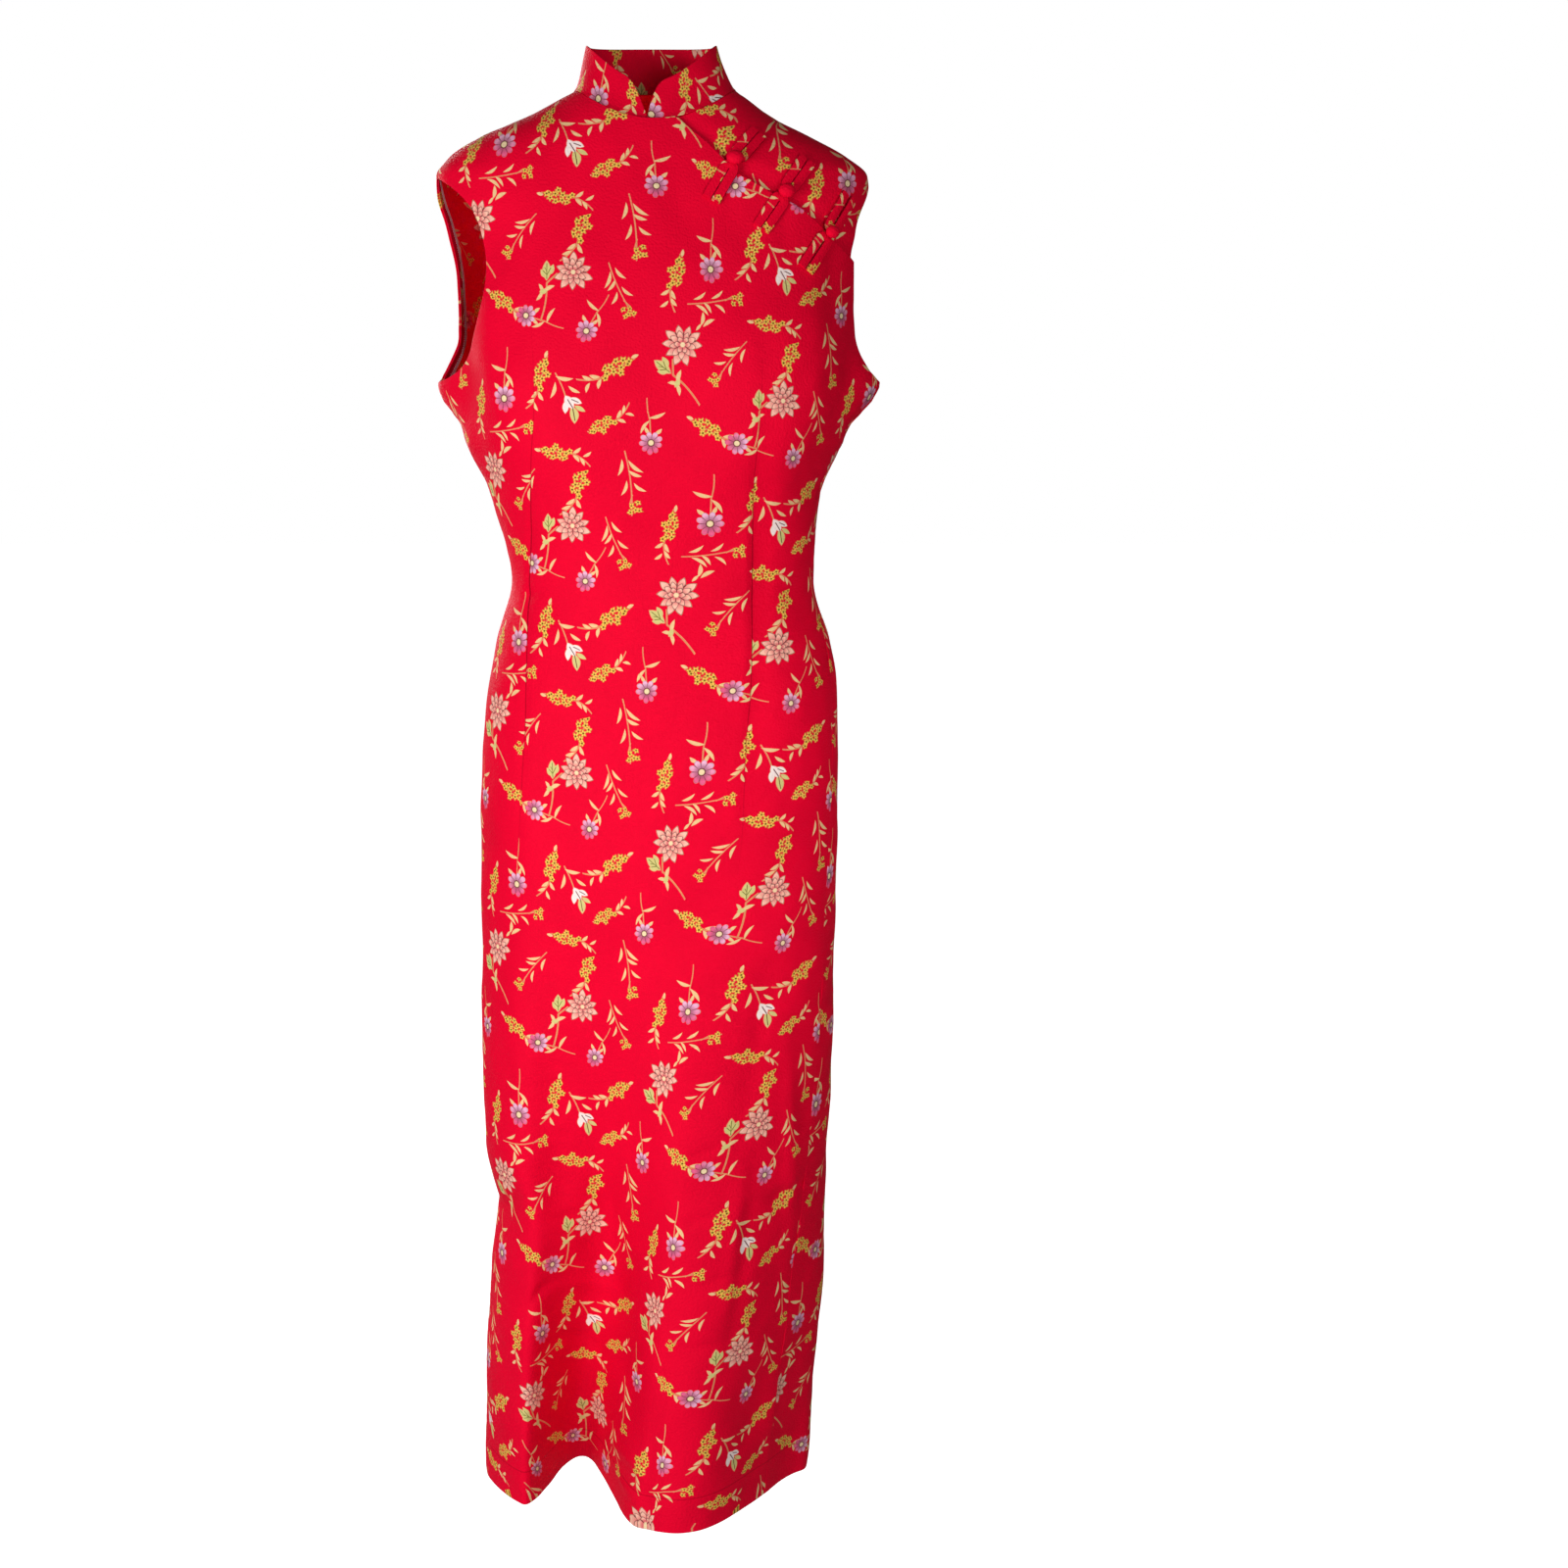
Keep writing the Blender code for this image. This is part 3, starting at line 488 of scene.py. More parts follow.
def vectors(tree, kind, *values):
    node = tree.nodes.new("ShaderNodeVectorMath")
    node.operation = kind
    for value, socket in zip(values, node.inputs):
        link(tree, value, socket)
    return node.outputs["Value"] if kind == "LENGTH" else node.outputs["Vector"]


def blended(tree, amount, low, high):
    node = tree.nodes.new("ShaderNodeMix")
    node.data_type = "RGBA"
    link(tree, amount, node.inputs[0])
    link(tree, low, node.inputs[6])
    link(tree, high, node.inputs[7])
    return node.outputs[2]


def turned(tree, vector, place, degrees, size):  # coordinates seen from a motif's own place
    node = tree.nodes.new("ShaderNodeMapping")
    node.vector_type = "TEXTURE"
    tree.links.new(vector, node.inputs["Vector"])
    node.inputs["Location"].default_value = (place[0], place[1], 0)
    node.inputs["Rotation"].default_value = (0, 0, math.radians(degrees))
    node.inputs["Scale"].default_value = (size[0], size[1], 1)
    return node.outputs["Vector"]


def parts(tree, vector):
    node = tree.nodes.new("ShaderNodeSeparateXYZ")
    tree.links.new(vector, node.inputs[0])
    return node.outputs[0], node.outputs[1]


def below(tree, value, limit, soft):  # 1 where value is under limit, with a soft edge
    return maths(tree, "MULTIPLY_ADD", value, -1 / soft, limit / soft + 0.5, clamp=True)


# The print: a small half-drop floral, redrawn; millimetres inside a motif
flowerPrint = {
    "cream": (0.80, 0.62, 0.36, 1),
    "leaf": (0.76, 0.50, 0.24, 1),
    "leafVein": (0.14, 0.13, 0.02, 1),
    "stem": (0.66, 0.24, 0.10, 1),
    "gold": (0.42, 0.15, 0.010, 1),
    "goldLight": (0.80, 0.49, 0.09, 1),
    "goldDark": (0.12, 0.06, 0.006, 1),
    "green": (0.60, 0.52, 0.19, 1),
    "salmon": (0.68, 0.15, 0.15, 1),
    "salmonLight": (0.86, 0.48, 0.36, 1),
    "outline": (0.11, 0.004, 0.012, 1),
    "pink": (0.74, 0.11, 0.24, 1),
    "lilac": (0.76, 0.45, 0.62, 1),
    "white": (0.85, 0.70, 0.66, 1),
}
motifPlaces = {  # across and up from the first dahlia, turn in degrees, size, side; repeated in half drop
    "dahlia": ((0.000, 0.000, 0, 1.0, 1), (-0.0977, 0.0647, -52, 0.93, 1)),
    "daisy": ((0.0272, 0.0669, -2, 1.0, 1), (-0.0855, 0.0120, -29, 0.82, 1),
              (-0.0265, -0.0880, 184, 0.88, -1), (0.0498, -0.0885, -106, 0.84, 1)),
    "raceme": ((-0.0071, 0.0640, 72, 1.0, 1), (-0.0906, 0.1065, 76, 1.05, -1),
               (0.0660, 0.0890, 79, 1.0, -1), (-0.0585, -0.0200, 34, 1.05, -1),
               (-0.0707, -0.0721, 203, 0.9, 1), (0.0240, -0.0745, 147, 1.0, 1),
               (0.0800, 0.0180, 175, 0.95, -1)),
    "sprig": ((-0.0549, 0.0462, -73, 0.92, 1), (-0.0444, 0.1020, -74, 1.03, -1), (0.0330, 0.0393, 0, 0.92, 1),
              (0.0422, -0.0187, 225, 0.86, 1)),
    "bud": ((-0.1020, -0.0465, -58, 1.0, 1),),
    "twig": ((0.0190, 0.0190, 42, 1.0, 1),),
}
motifMiddle = {  # the middle of each drawing, millimetres
    "dahlia": (-4, -16), "daisy": (-2, 14), "raceme": (-12, 0), "sprig": (-2, -1), "bud": (-1, 0),
    "twig": (0, 0),
}


def nearestMotif(tree, place, kind):  # millimetres inside the nearest motif of one kind
    acrossPitch, halfDown = printMap["pitchAcross"], printMap["pitchDown"] / 2
    total, best = (999.0, 999.0, 0.0), 900.0
    for across, up, degrees, size, side in motifPlaces[kind]:
        cosine, sine = math.cos(math.radians(degrees)), math.sin(math.radians(degrees))
        right, forward = motifMiddle[kind][0] * size / 1000, motifMiddle[kind][1] * size * side / 1000
        for step in (0, 1):
            x = across + step * acrossPitch + cosine * right - sine * forward
            y = up + step * halfDown + sine * right + cosine * forward
            near = vectors(tree, "WRAP", place, (x + acrossPitch, y + halfDown, 1),
                           (x - acrossPitch, y - halfDown, -1))
            local = turned(tree, near, (x, y), degrees, (0.001 * size, 0.001 * size * side))
            away = vectors(tree, "LENGTH", local)
            choose = tree.nodes.new("ShaderNodeMix")
            choose.data_type = "VECTOR"
            link(tree, maths(tree, "LESS_THAN", away, best), choose.inputs[0])
            link(tree, total, choose.inputs[4])
            link(tree, local, choose.inputs[5])
            total, best = choose.outputs[1], maths(tree, "MINIMUM", away, best)
    return vectors(tree, "ADD", total, motifMiddle[kind] + (0,))


def leaf(tree, local, place, degrees, length, width, bend=0.0):
    x, y = parts(tree, turned(tree, local, place, degrees, (length / 2, width / 2)))
    squared = maths(tree, "MULTIPLY", x, x)
    if bend:
        y = maths(tree, "MULTIPLY_ADD", squared, bend, y)
    return below(tree, maths(tree, "ADD", squared, maths(tree, "ABSOLUTE", y)), 1.0, 0.3)


def stem(tree, local, place, degrees, length, bend, width=0.75):
    x, y = parts(tree, turned(tree, local, place, degrees, (1, 1)))
    away = maths(tree, "ABSOLUTE", maths(tree, "MULTIPLY_ADD", maths(tree, "MULTIPLY", x, x), -bend, y))
    within = below(tree, maths(tree, "ABSOLUTE", maths(tree, "SUBTRACT", x, length / 2)), length / 2, 0.6)
    return maths(tree, "MULTIPLY", below(tree, away, width, 0.5), within)


def most(tree, *covers):
    total = covers[0]
    for cover in covers[1:]:
        total = maths(tree, "MAXIMUM", total, cover)
    return total


def petals(tree, turn, radius, count, reach, notch, twist, tip, rimLine, sway):
    wave = maths(tree, "ABSOLUTE", maths(tree, "COSINE", maths(tree, "MULTIPLY_ADD", turn, count / 2, twist)))
    fromMiddle = maths(tree, "MULTIPLY", maths(tree, "ARCCOSINE", wave), 2 / math.pi)
    edge = maths(tree, "MULTIPLY_ADD", maths(tree, "POWER", fromMiddle, tip), -reach * notch, reach)
    around = maths(tree, "SINE", maths(tree, "MULTIPLY_ADD", turn, 3.0, twist))
    edge = maths(tree, "MULTIPLY_ADD", around, reach * sway, edge)
    inside = below(tree, maths(tree, "SUBTRACT", radius, edge), 0.0, 0.5)
    rim = maths(tree, "MULTIPLY", below(tree, maths(tree, "SUBTRACT", edge, radius), 0.8, 0.8), rimLine)
    return inside, most(tree, rim, below(tree, wave, 0.30, 0.25))


def polar(tree, local):
    x, y = parts(tree, local)
    return maths(tree, "ARCTAN2", y, x), vectors(tree, "LENGTH", local)


def leaves(tree, local, *rows):
    return most(tree, *(leaf(tree, local, *row) for row in rows))


def stems(tree, local, *rows):
    return most(tree, *(stem(tree, local, *row) for row in rows))


def painted(tree, colour, *layers):  # each layer is what it covers and its tint, the last on top
    for cover, tint in layers:
        colour = blended(tree, cover, colour, flowerPrint[tint] if isinstance(tint, str) else tint)
    return colour


def dahlia(tree, local, colour, cover):
    green = leaves(tree, local, ((-17.5, -19.7), 142, 19, 8.5), ((-16.6, -23.8), 188, 11, 5.5, 0.3),
                   ((-14.8, -16.0), 112, 12, 5.5, -0.3), ((-4, -34.5), 60, 8, 5))
    pale = leaves(tree, local, ((-3.2, -28.5), 78, 13, 3.8, 0.5), ((-8, -34), 168, 9, 3.2, -0.5),
                  ((-2.6, -39.5), -72, 12, 3.4, 0.6))
    stalks = stems(tree, local, ((-8.5, -13), -88, 14, 0.0), ((-8, -27), -36, 36, -0.0055))
    veins = stems(tree, local, ((-11, -24.5), 142, 15, 0.0, 0.35), ((-14, -22), 186, 6, 0.0, 0.35),
                  ((-14, -22), 112, 8, 0.0, 0.35), ((-17, -20), 170, 4, 0.0, 0.3))
    colour = painted(tree, colour, (stalks, "stem"), (pale, "leaf"), (green, "green"), (veins, "leafVein"))
    cover = most(tree, cover, green, pale, stalks)
    turn, radius = polar(tree, local)
    for count, reach, notch, twist in ((10, 18.6, 0.36, 0.3), (9, 13.0, 0.34, 1.1), (6, 8.0, 0.30, 0.2)):
        inside, lines = petals(tree, turn, radius, count, reach, notch, twist, 1.1, 0.9, 0.07)
        light = maths(tree, "MULTIPLY_ADD", radius, 2.6 / reach, -1.15, clamp=True)
        fill = painted(tree, flowerPrint["salmon"], (light, "salmonLight"),
                       (maths(tree, "MULTIPLY", lines, 0.9), "outline"))
        colour = painted(tree, colour, (inside, fill))
        cover = maths(tree, "MAXIMUM", cover, inside)
    return painted(tree, colour, (below(tree, radius, 2.2, 0.8), "cream")), cover


def twig(tree, local, colour, cover):
    shown = leaves(tree, local, ((3, 2.6), 40, 12, 3.6, -0.6), ((5, -3), -12, 13, 3.6, 0.6),
                   ((-5, 0), 5, 8, 2.6))
    return blended(tree, shown, colour, flowerPrint["leaf"]), maths(tree, "MAXIMUM", cover, shown)


def daisy(tree, local, colour, cover):
    slim = leaves(tree, local, ((-8, 26.5), 166, 18, 3.4, 0.9), ((6, 17.5), -52, 16, 3.2, 0.9),
                  ((-8.5, 10.5), 150, 9, 3.6, 0.5), ((3.5, 12.5), 62, 9, 3.4, -0.5))
    stalks = stems(tree, local, ((0, 9), 90, 16, 0.0, 0.6), ((0, 24), 76, 22, 0.008, 0.5))
    turn, radius = polar(tree, local)
    inside, lines = petals(tree, turn, radius, 9, 11.8, 0.30, 0.0, 2.2, 0.3, 0.05)
    high = maths(tree, "MULTIPLY_ADD", parts(tree, local)[1], 0.055, 0.42, clamp=True)
    deep = maths(tree, "MULTIPLY", below(tree, radius, 7.0, 3.5), 0.45)
    shade = most(tree, deep, maths(tree, "MULTIPLY", lines, 0.75))
    fill = painted(tree, flowerPrint["pink"], (high, "lilac"), (shade, "outline"))
    colour = painted(tree, colour, (stalks, "stem"), (slim, "leaf"), (inside, fill),
                     (below(tree, radius, 3.8, 0.6), "outline"), (below(tree, radius, 2.8, 0.8), "cream"))
    return colour, most(tree, cover, slim, stalks, inside)


def florets(tree, local, size):  # many small golden flowers side by side, each with a dark eye
    cells = tree.nodes.new("ShaderNodeTexVoronoi")
    cells.voronoi_dimensions = "2D"
    cells.inputs["Scale"].default_value = 1 / size
    cells.inputs["Randomness"].default_value = 0.7
    tree.links.new(local, cells.inputs["Vector"])
    middle = vectors(tree, "MULTIPLY", cells.outputs["Position"], (1.0, 1.0, 0.0))
    turn, radius = polar(tree, vectors(tree, "SUBTRACT", local, middle))
    spun = maths(tree, "MULTIPLY_ADD", turn, 5.0, parts(tree, middle)[0])
    edge = maths(tree, "MULTIPLY_ADD", maths(tree, "COSINE", spun), 0.15 * size, 0.53 * size)
    fromEdge = maths(tree, "SUBTRACT", radius, edge)
    light, eye = below(tree, fromEdge, -0.12 * size, 0.6), below(tree, radius, 0.17 * size, 0.7)
    fill = painted(tree, flowerPrint["gold"], (light, "goldLight"), (eye, "goldDark"))
    return below(tree, fromEdge, 0.0, 0.4), fill, middle


def raceme(tree, local, colour, cover):
    shown, fill, middle = florets(tree, local, 5.6)
    x, y = parts(tree, middle)
    width = maths(tree, "MULTIPLY_ADD", maths(tree, "MULTIPLY", x, x), -0.019,
                  maths(tree, "MULTIPLY_ADD", x, -0.06, 6.6))
    body = below(tree, maths(tree, "SUBTRACT", maths(tree, "ABSOLUTE", y), width), 0.0, 0.1)
    shown = maths(tree, "MULTIPLY", shown, body)
    stalks = stems(tree, local, ((-17, 0), 197, 19, 0.014, 0.6), ((-19, 0), 4, 36, 0.0, 0.5))
    small = leaves(tree, local, ((-20, 3.4), 140, 9, 3.2, 0.5), ((-20, -3.4), 222, 9, 3.2, -0.5),
                   ((-26, -6), 235, 9, 3.0, -0.5), ((-30, 0.5), 145, 9, 2.8, 0.6), ((18, 1), 10, 7, 3))
    colour = painted(tree, colour, (stalks, "stem"), (small, "leaf"), (shown, fill))
    return colour, most(tree, cover, shown, small, stalks)


def sprig(tree, local, colour, cover):
    stalks = stems(tree, local, ((-32, -3.5), 0, 58, 0.0026, 0.5), ((8, 0), 30, 9, 0.0, 0.45))
    slim = leaves(tree, local, ((-18, 3), 28, 15, 3.0, -1.1), ((-15, -8), -35, 17, 3.2, 1.1),
                  ((-9, -6.5), -50, 13, 3.0, 0.8), ((1, 4.5), 35, 14, 2.8, -1.1),
                  ((4, -7), -40, 13, 2.8, 1.1))
    shown, fill, middle = florets(tree, local, 5.0)
    away = vectors(tree, "LENGTH", vectors(tree, "SUBTRACT", middle, (20.0, 0.0, 0.0)))
    shown = maths(tree, "MULTIPLY", shown, below(tree, away, 6.4, 0.1))
    colour = painted(tree, colour, (stalks, "stem"), (slim, "leaf"), (shown, fill))
    return colour, most(tree, cover, stalks, slim, shown)


def bud(tree, local, colour, cover):
    stalks = stem(tree, local, (-24, 2), 0, 26, -0.006, 0.55)
    slim = leaves(tree, local, ((-15, 6), 50, 16, 3.4, -0.9), ((-11, -7), -48, 15, 3.2, 0.9),
                  ((-2, 8), 28, 12, 3.0, -0.6))
    green = leaves(tree, local, ((17, -3), -22, 16, 7.5, 0.3), ((15, 4), 30, 11, 4.0))
    white = leaves(tree, local, ((5, -1), 0, 14, 8), ((7, 4.5), 35, 12, 5.5), ((7, -6), -35, 12, 5.5))
    lines = stems(tree, local, ((2, -1), 0, 9, 0.0, 0.45), ((4, 2), 35, 7, 0.0, 0.4),
                  ((11, -1), -22, 12, 0.0, 0.4))
    colour = painted(tree, colour, (stalks, "stem"), (slim, "leaf"), (green, "green"), (white, "white"),
                     (lines, "outline"))
    return colour, most(tree, cover, stalks, slim, green, white)


def makeFlowerPrint():
    tree = bpy.data.node_groups.new("flowerPrint", "ShaderNodeTree")
    tree.interface.new_socket("Flat cloth", in_out="INPUT", socket_type="NodeSocketVector")
    tree.interface.new_socket("Colour", in_out="OUTPUT", socket_type="NodeSocketColor")
    tree.interface.new_socket("Cover", in_out="OUTPUT", socket_type="NodeSocketFloat")
    place = tree.nodes.new("NodeGroupInput").outputs[0]
    colour, cover = flowerPrint["cream"], 0.0
    for draw in (bud, sprig, raceme, daisy, twig, dahlia):
        colour, cover = draw(tree, nearestMotif(tree, place, draw.__name__), colour, cover)
    out = tree.nodes.new("NodeGroupOutput")
    tree.links.new(colour, out.inputs[0])
    tree.links.new(cover, out.inputs[1])
    print("print drawn with", len(tree.nodes), "nodes")
    return tree


printTree = makeFlowerPrint()

# Finishes of the crepe
crepe = {
    "red": (0.800, 0.0012, 0.027, 1),
    "inside": (0.920, 0.003, 0.032, 1),
    # painted shade: a darker red for the side faces of the frog tubes, standing in for the shadow along their
    # edges
    "edge": (0.360, 0.001, 0.012, 1),
    "seam": (0.200, 0.001, 0.006, 1),
    "thread": (0.950, 0.420, 0.460, 1),
    "cloud": 0.82,
    "cloudScale": 14.0,
    "noiseDetail": 3.0,
    "roughness": 0.52,
    "insideRoughness": 0.75,
    "threadRoughness": 0.6,
    "threadShade": 0.75,
    "threadScale": 900.0,
    "gloss": 0.02,
    "glowThrough": 0.6,
    "glowReach": (0.004, 0.0004, 0.0006),
    "seamWidth": 0.0005,
    "hemLine": -1.1188,
    "seamSoft": 0.0005,
    "seamReach": 200.0,
    "hemWidth": 0.0007,
    "hemSoft": 0.0006,
    "hemShow": 0.35,
    "grainScale": 480.0,
    "grainDepth": 0.0011,
    "grainStrength": 0.9,
}


def noise(tree, where, scale):
    node = tree.nodes.new("ShaderNodeTexNoise")
    node.inputs["Scale"].default_value = scale
    node.inputs["Detail"].default_value = crepe["noiseDetail"]
    tree.links.new(where, node.inputs["Vector"])
    return node.outputs["Fac"]


def newFinish(name, roughness):
    finish = bpy.data.materials.new(name)
    finish.use_nodes = True
    shader = finish.node_tree.nodes["Principled BSDF"]
    shader.inputs["Roughness"].default_value = roughness
    return finish, finish.node_tree, shader


def seamLines(tree, side, cut, flat):  # the stitched line of each dart, and the fold of the hem
    dart = below(tree, maths(tree, "ABSOLUTE", side), crepe["seamWidth"], crepe["seamSoft"])
    dart = maths(tree, "MULTIPLY", dart, maths(tree, "MULTIPLY", cut, crepe["seamReach"], clamp=True))
    down = maths(tree, "ABSOLUTE", maths(tree, "SUBTRACT", parts(tree, flat)[1], crepe["hemLine"]))
    hem = below(tree, down, crepe["hemWidth"], crepe["hemSoft"])
    hem = maths(tree, "MULTIPLY", hem, crepe["hemShow"])
    return most(tree, dart, hem)


def crepeFinish(name, printed=1.0, inside=False, darts=False, ground="red"):
    finish, tree, shader = newFinish(name, crepe["insideRoughness" if inside else "roughness"])
    shader.inputs["Specular IOR Level"].default_value = crepe["gloss"]
    mapped = tree.nodes.new("ShaderNodeUVMap")
    mapped.uv_map = "flatCloth"
    flat = place = mapped.outputs[0]
    if darts:  # the print is cut away at each dart
        sides = tree.nodes.new("ShaderNodeAttribute")
        sides.attribute_name = "dartSide"
        side, cut = parts(tree, sides.outputs["Vector"])
        onRight = maths(tree, "MULTIPLY_ADD", maths(tree, "GREATER_THAN", side, 0.0), 2.0, -1.0)
        shift = tree.nodes.new("ShaderNodeCombineXYZ")
        tree.links.new(maths(tree, "MULTIPLY", onRight, cut), shift.inputs[0])
        place = vectors(tree, "ADD", flat, shift.outputs[0])
    drawn = tree.nodes.new("ShaderNodeGroup")
    drawn.node_tree = printTree
    tree.links.new(place, drawn.inputs[0])
    ground = crepe["inside" if inside else ground]
    deep = tuple(c * crepe["cloud"] for c in ground[:3]) + (1,)
    shown = maths(tree, "MULTIPLY", drawn.outputs["Cover"], printed)
    colour = blended(tree, noise(tree, place, crepe["cloudScale"]), deep, ground)
    colour = blended(tree, shown, colour, drawn.outputs["Colour"])
    if darts:
        colour = blended(tree, seamLines(tree, side, cut, flat), colour, crepe["seam"])
    tree.links.new(colour, shader.inputs["Base Color"])
    if inside:  # thin cloth lets some light through
        shader.inputs["Subsurface Weight"].default_value = crepe["glowThrough"]
        shader.inputs["Subsurface Radius"].default_value = crepe["glowReach"]
        shader.inputs["Subsurface Scale"].default_value = 1.0
    bump = tree.nodes.new("ShaderNodeBump")
    bump.inputs["Strength"].default_value = crepe["grainStrength"]
    bump.inputs["Distance"].default_value = crepe["grainDepth"]
    tree.links.new(noise(tree, place, crepe["grainScale"]), bump.inputs["Height"])
    tree.links.new(bump.outputs[0], shader.inputs["Normal"])
    return finish


def threadFinish(name, colour):
    finish, tree, shader = newFinish(name, crepe["threadRoughness"])
    where = tree.nodes.new("ShaderNodeTexCoord")
    twist = tree.nodes.new("ShaderNodeTexWave")
    twist.inputs["Scale"].default_value = crepe["threadScale"]
    tree.links.new(where.outputs["Object"], twist.inputs["Vector"])
    darker = tuple(c * crepe["threadShade"] for c in colour[:3]) + (1,)
    tree.links.new(blended(tree, twist.outputs["Fac"], darker, colour), shader.inputs["Base Color"])
    return finish


finishes = {
    "panel": crepeFinish("printedCrepeDarts", darts=True),
    "plain": crepeFinish("printedCrepe"),
    "collar": crepeFinish("collarCrepe"),
    "frog": crepeFinish("frogCrepe", printed=0.9),
    # painted shade: the frog tubes' side faces get this darker red in place of their shadow
    "frogEdge": crepeFinish("frogEdgeCrepe", printed=0.3, ground="edge"),
    "knot": crepeFinish("knotCrepe", printed=0.0),
    "inside": crepeFinish("crepeInside", printed=0.8, inside=True),
    "thread": threadFinish("overlockThread", crepe["thread"]),
}
print("finishes ready")


# Mesh helpers
def finishPiece(piece, flat, skins, materials, slot, sharp=100):
    mesh = piece.data
    layer = mesh.uv_layers[0] if mesh.uv_layers else mesh.uv_layers.new()
    layer.name = "flatCloth"
    corners = np.zeros(len(mesh.loops), dtype=np.int32)
    mesh.loops.foreach_get("vertex_index", corners)
    layer.data.foreach_set("uv", np.asarray(flat, float)[corners].ravel())
    for material in materials:
        mesh.materials.append(material)
    mesh.polygons.foreach_set("material_index", np.asarray(skins, dtype=np.int32))
    mesh.shade_smooth()
    mesh.set_sharp_from_angle(angle=math.radians(sharp))
    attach(piece, "root")
    return piece


def addPiece(name, points, faces, *looks):
    mesh = bpy.data.meshes.new(name)
    mesh.from_pydata([tuple(p) for p in points], [], faces)
    piece = bpy.data.objects.new(name, mesh)
    bpy.context.scene.collection.objects.link(piece)
    return finishPiece(piece, *looks)


def addWall(name, outer, inner, flat, materials, slot, bulge=0.00035):  # closed sheet with rounded edges
    rows, columns = outer.shape[:2]
    count = rows * columns
    index = np.arange(count).reshape(rows, columns)
    squares = np.stack([index[:-1, :-1], index[:-1, 1:], index[1:, 1:], index[1:, :-1]], axis=-1)
    squares = squares.reshape(-1, 4)
    rim = np.concatenate([index[0, :], index[1:, -1], index[-1, -2::-1], index[-2:0:-1, 0]])
    inward = np.clip(rim // columns, 1, rows - 2) * columns + np.clip(rim % columns, 1, columns - 2)
    outerPoints, innerPoints = outer.reshape(-1, 3), inner.reshape(-1, 3)
    outwards = unit(outerPoints[rim] - outerPoints[inward])
    middle = (outerPoints[rim] + innerPoints[rim]) / 2 + outwards * bulge
    between = 2 * count + np.arange(len(rim))
    after, afterBetween = np.roll(rim, -1), np.roll(between, -1)
    upper = np.stack([after, rim, between, afterBetween], axis=-1)
    lower = np.stack([afterBetween, between, rim + count, after + count], axis=-1)
    faces = np.concatenate([squares, squares[:, ::-1] + count, upper, lower])
    skins = np.concatenate([np.zeros(len(squares)), np.ones(len(squares)), np.zeros(2 * len(rim))])
    points = np.concatenate([outerPoints, innerPoints, middle])
    flat = flat.reshape(-1, 2)
    flat = np.concatenate([flat, flat, flat[rim]])
    return addPiece(name, points, faces.tolist(), flat, skins, materials, slot)


def gridArea(points):
    cross = np.cross(points[1:, 1:] - points[:-1, :-1], points[1:, :-1] - points[:-1, 1:])
    return float(np.linalg.norm(cross, axis=-1).sum() / 2)


def easeEdges(points):  # half a seam gap off every cut edge
    eased, every = points.copy(), slice(None)
    for edge, inner in (((0, every), (1, every)), ((-1, every), (-2, every)),
                        ((every, 0), (every, 1)), ((every, -1), (every, -2))):
        eased[edge] = eased[edge] + unit(points[inner] - points[edge]) * shape["seamGap"] / 2
    return eased


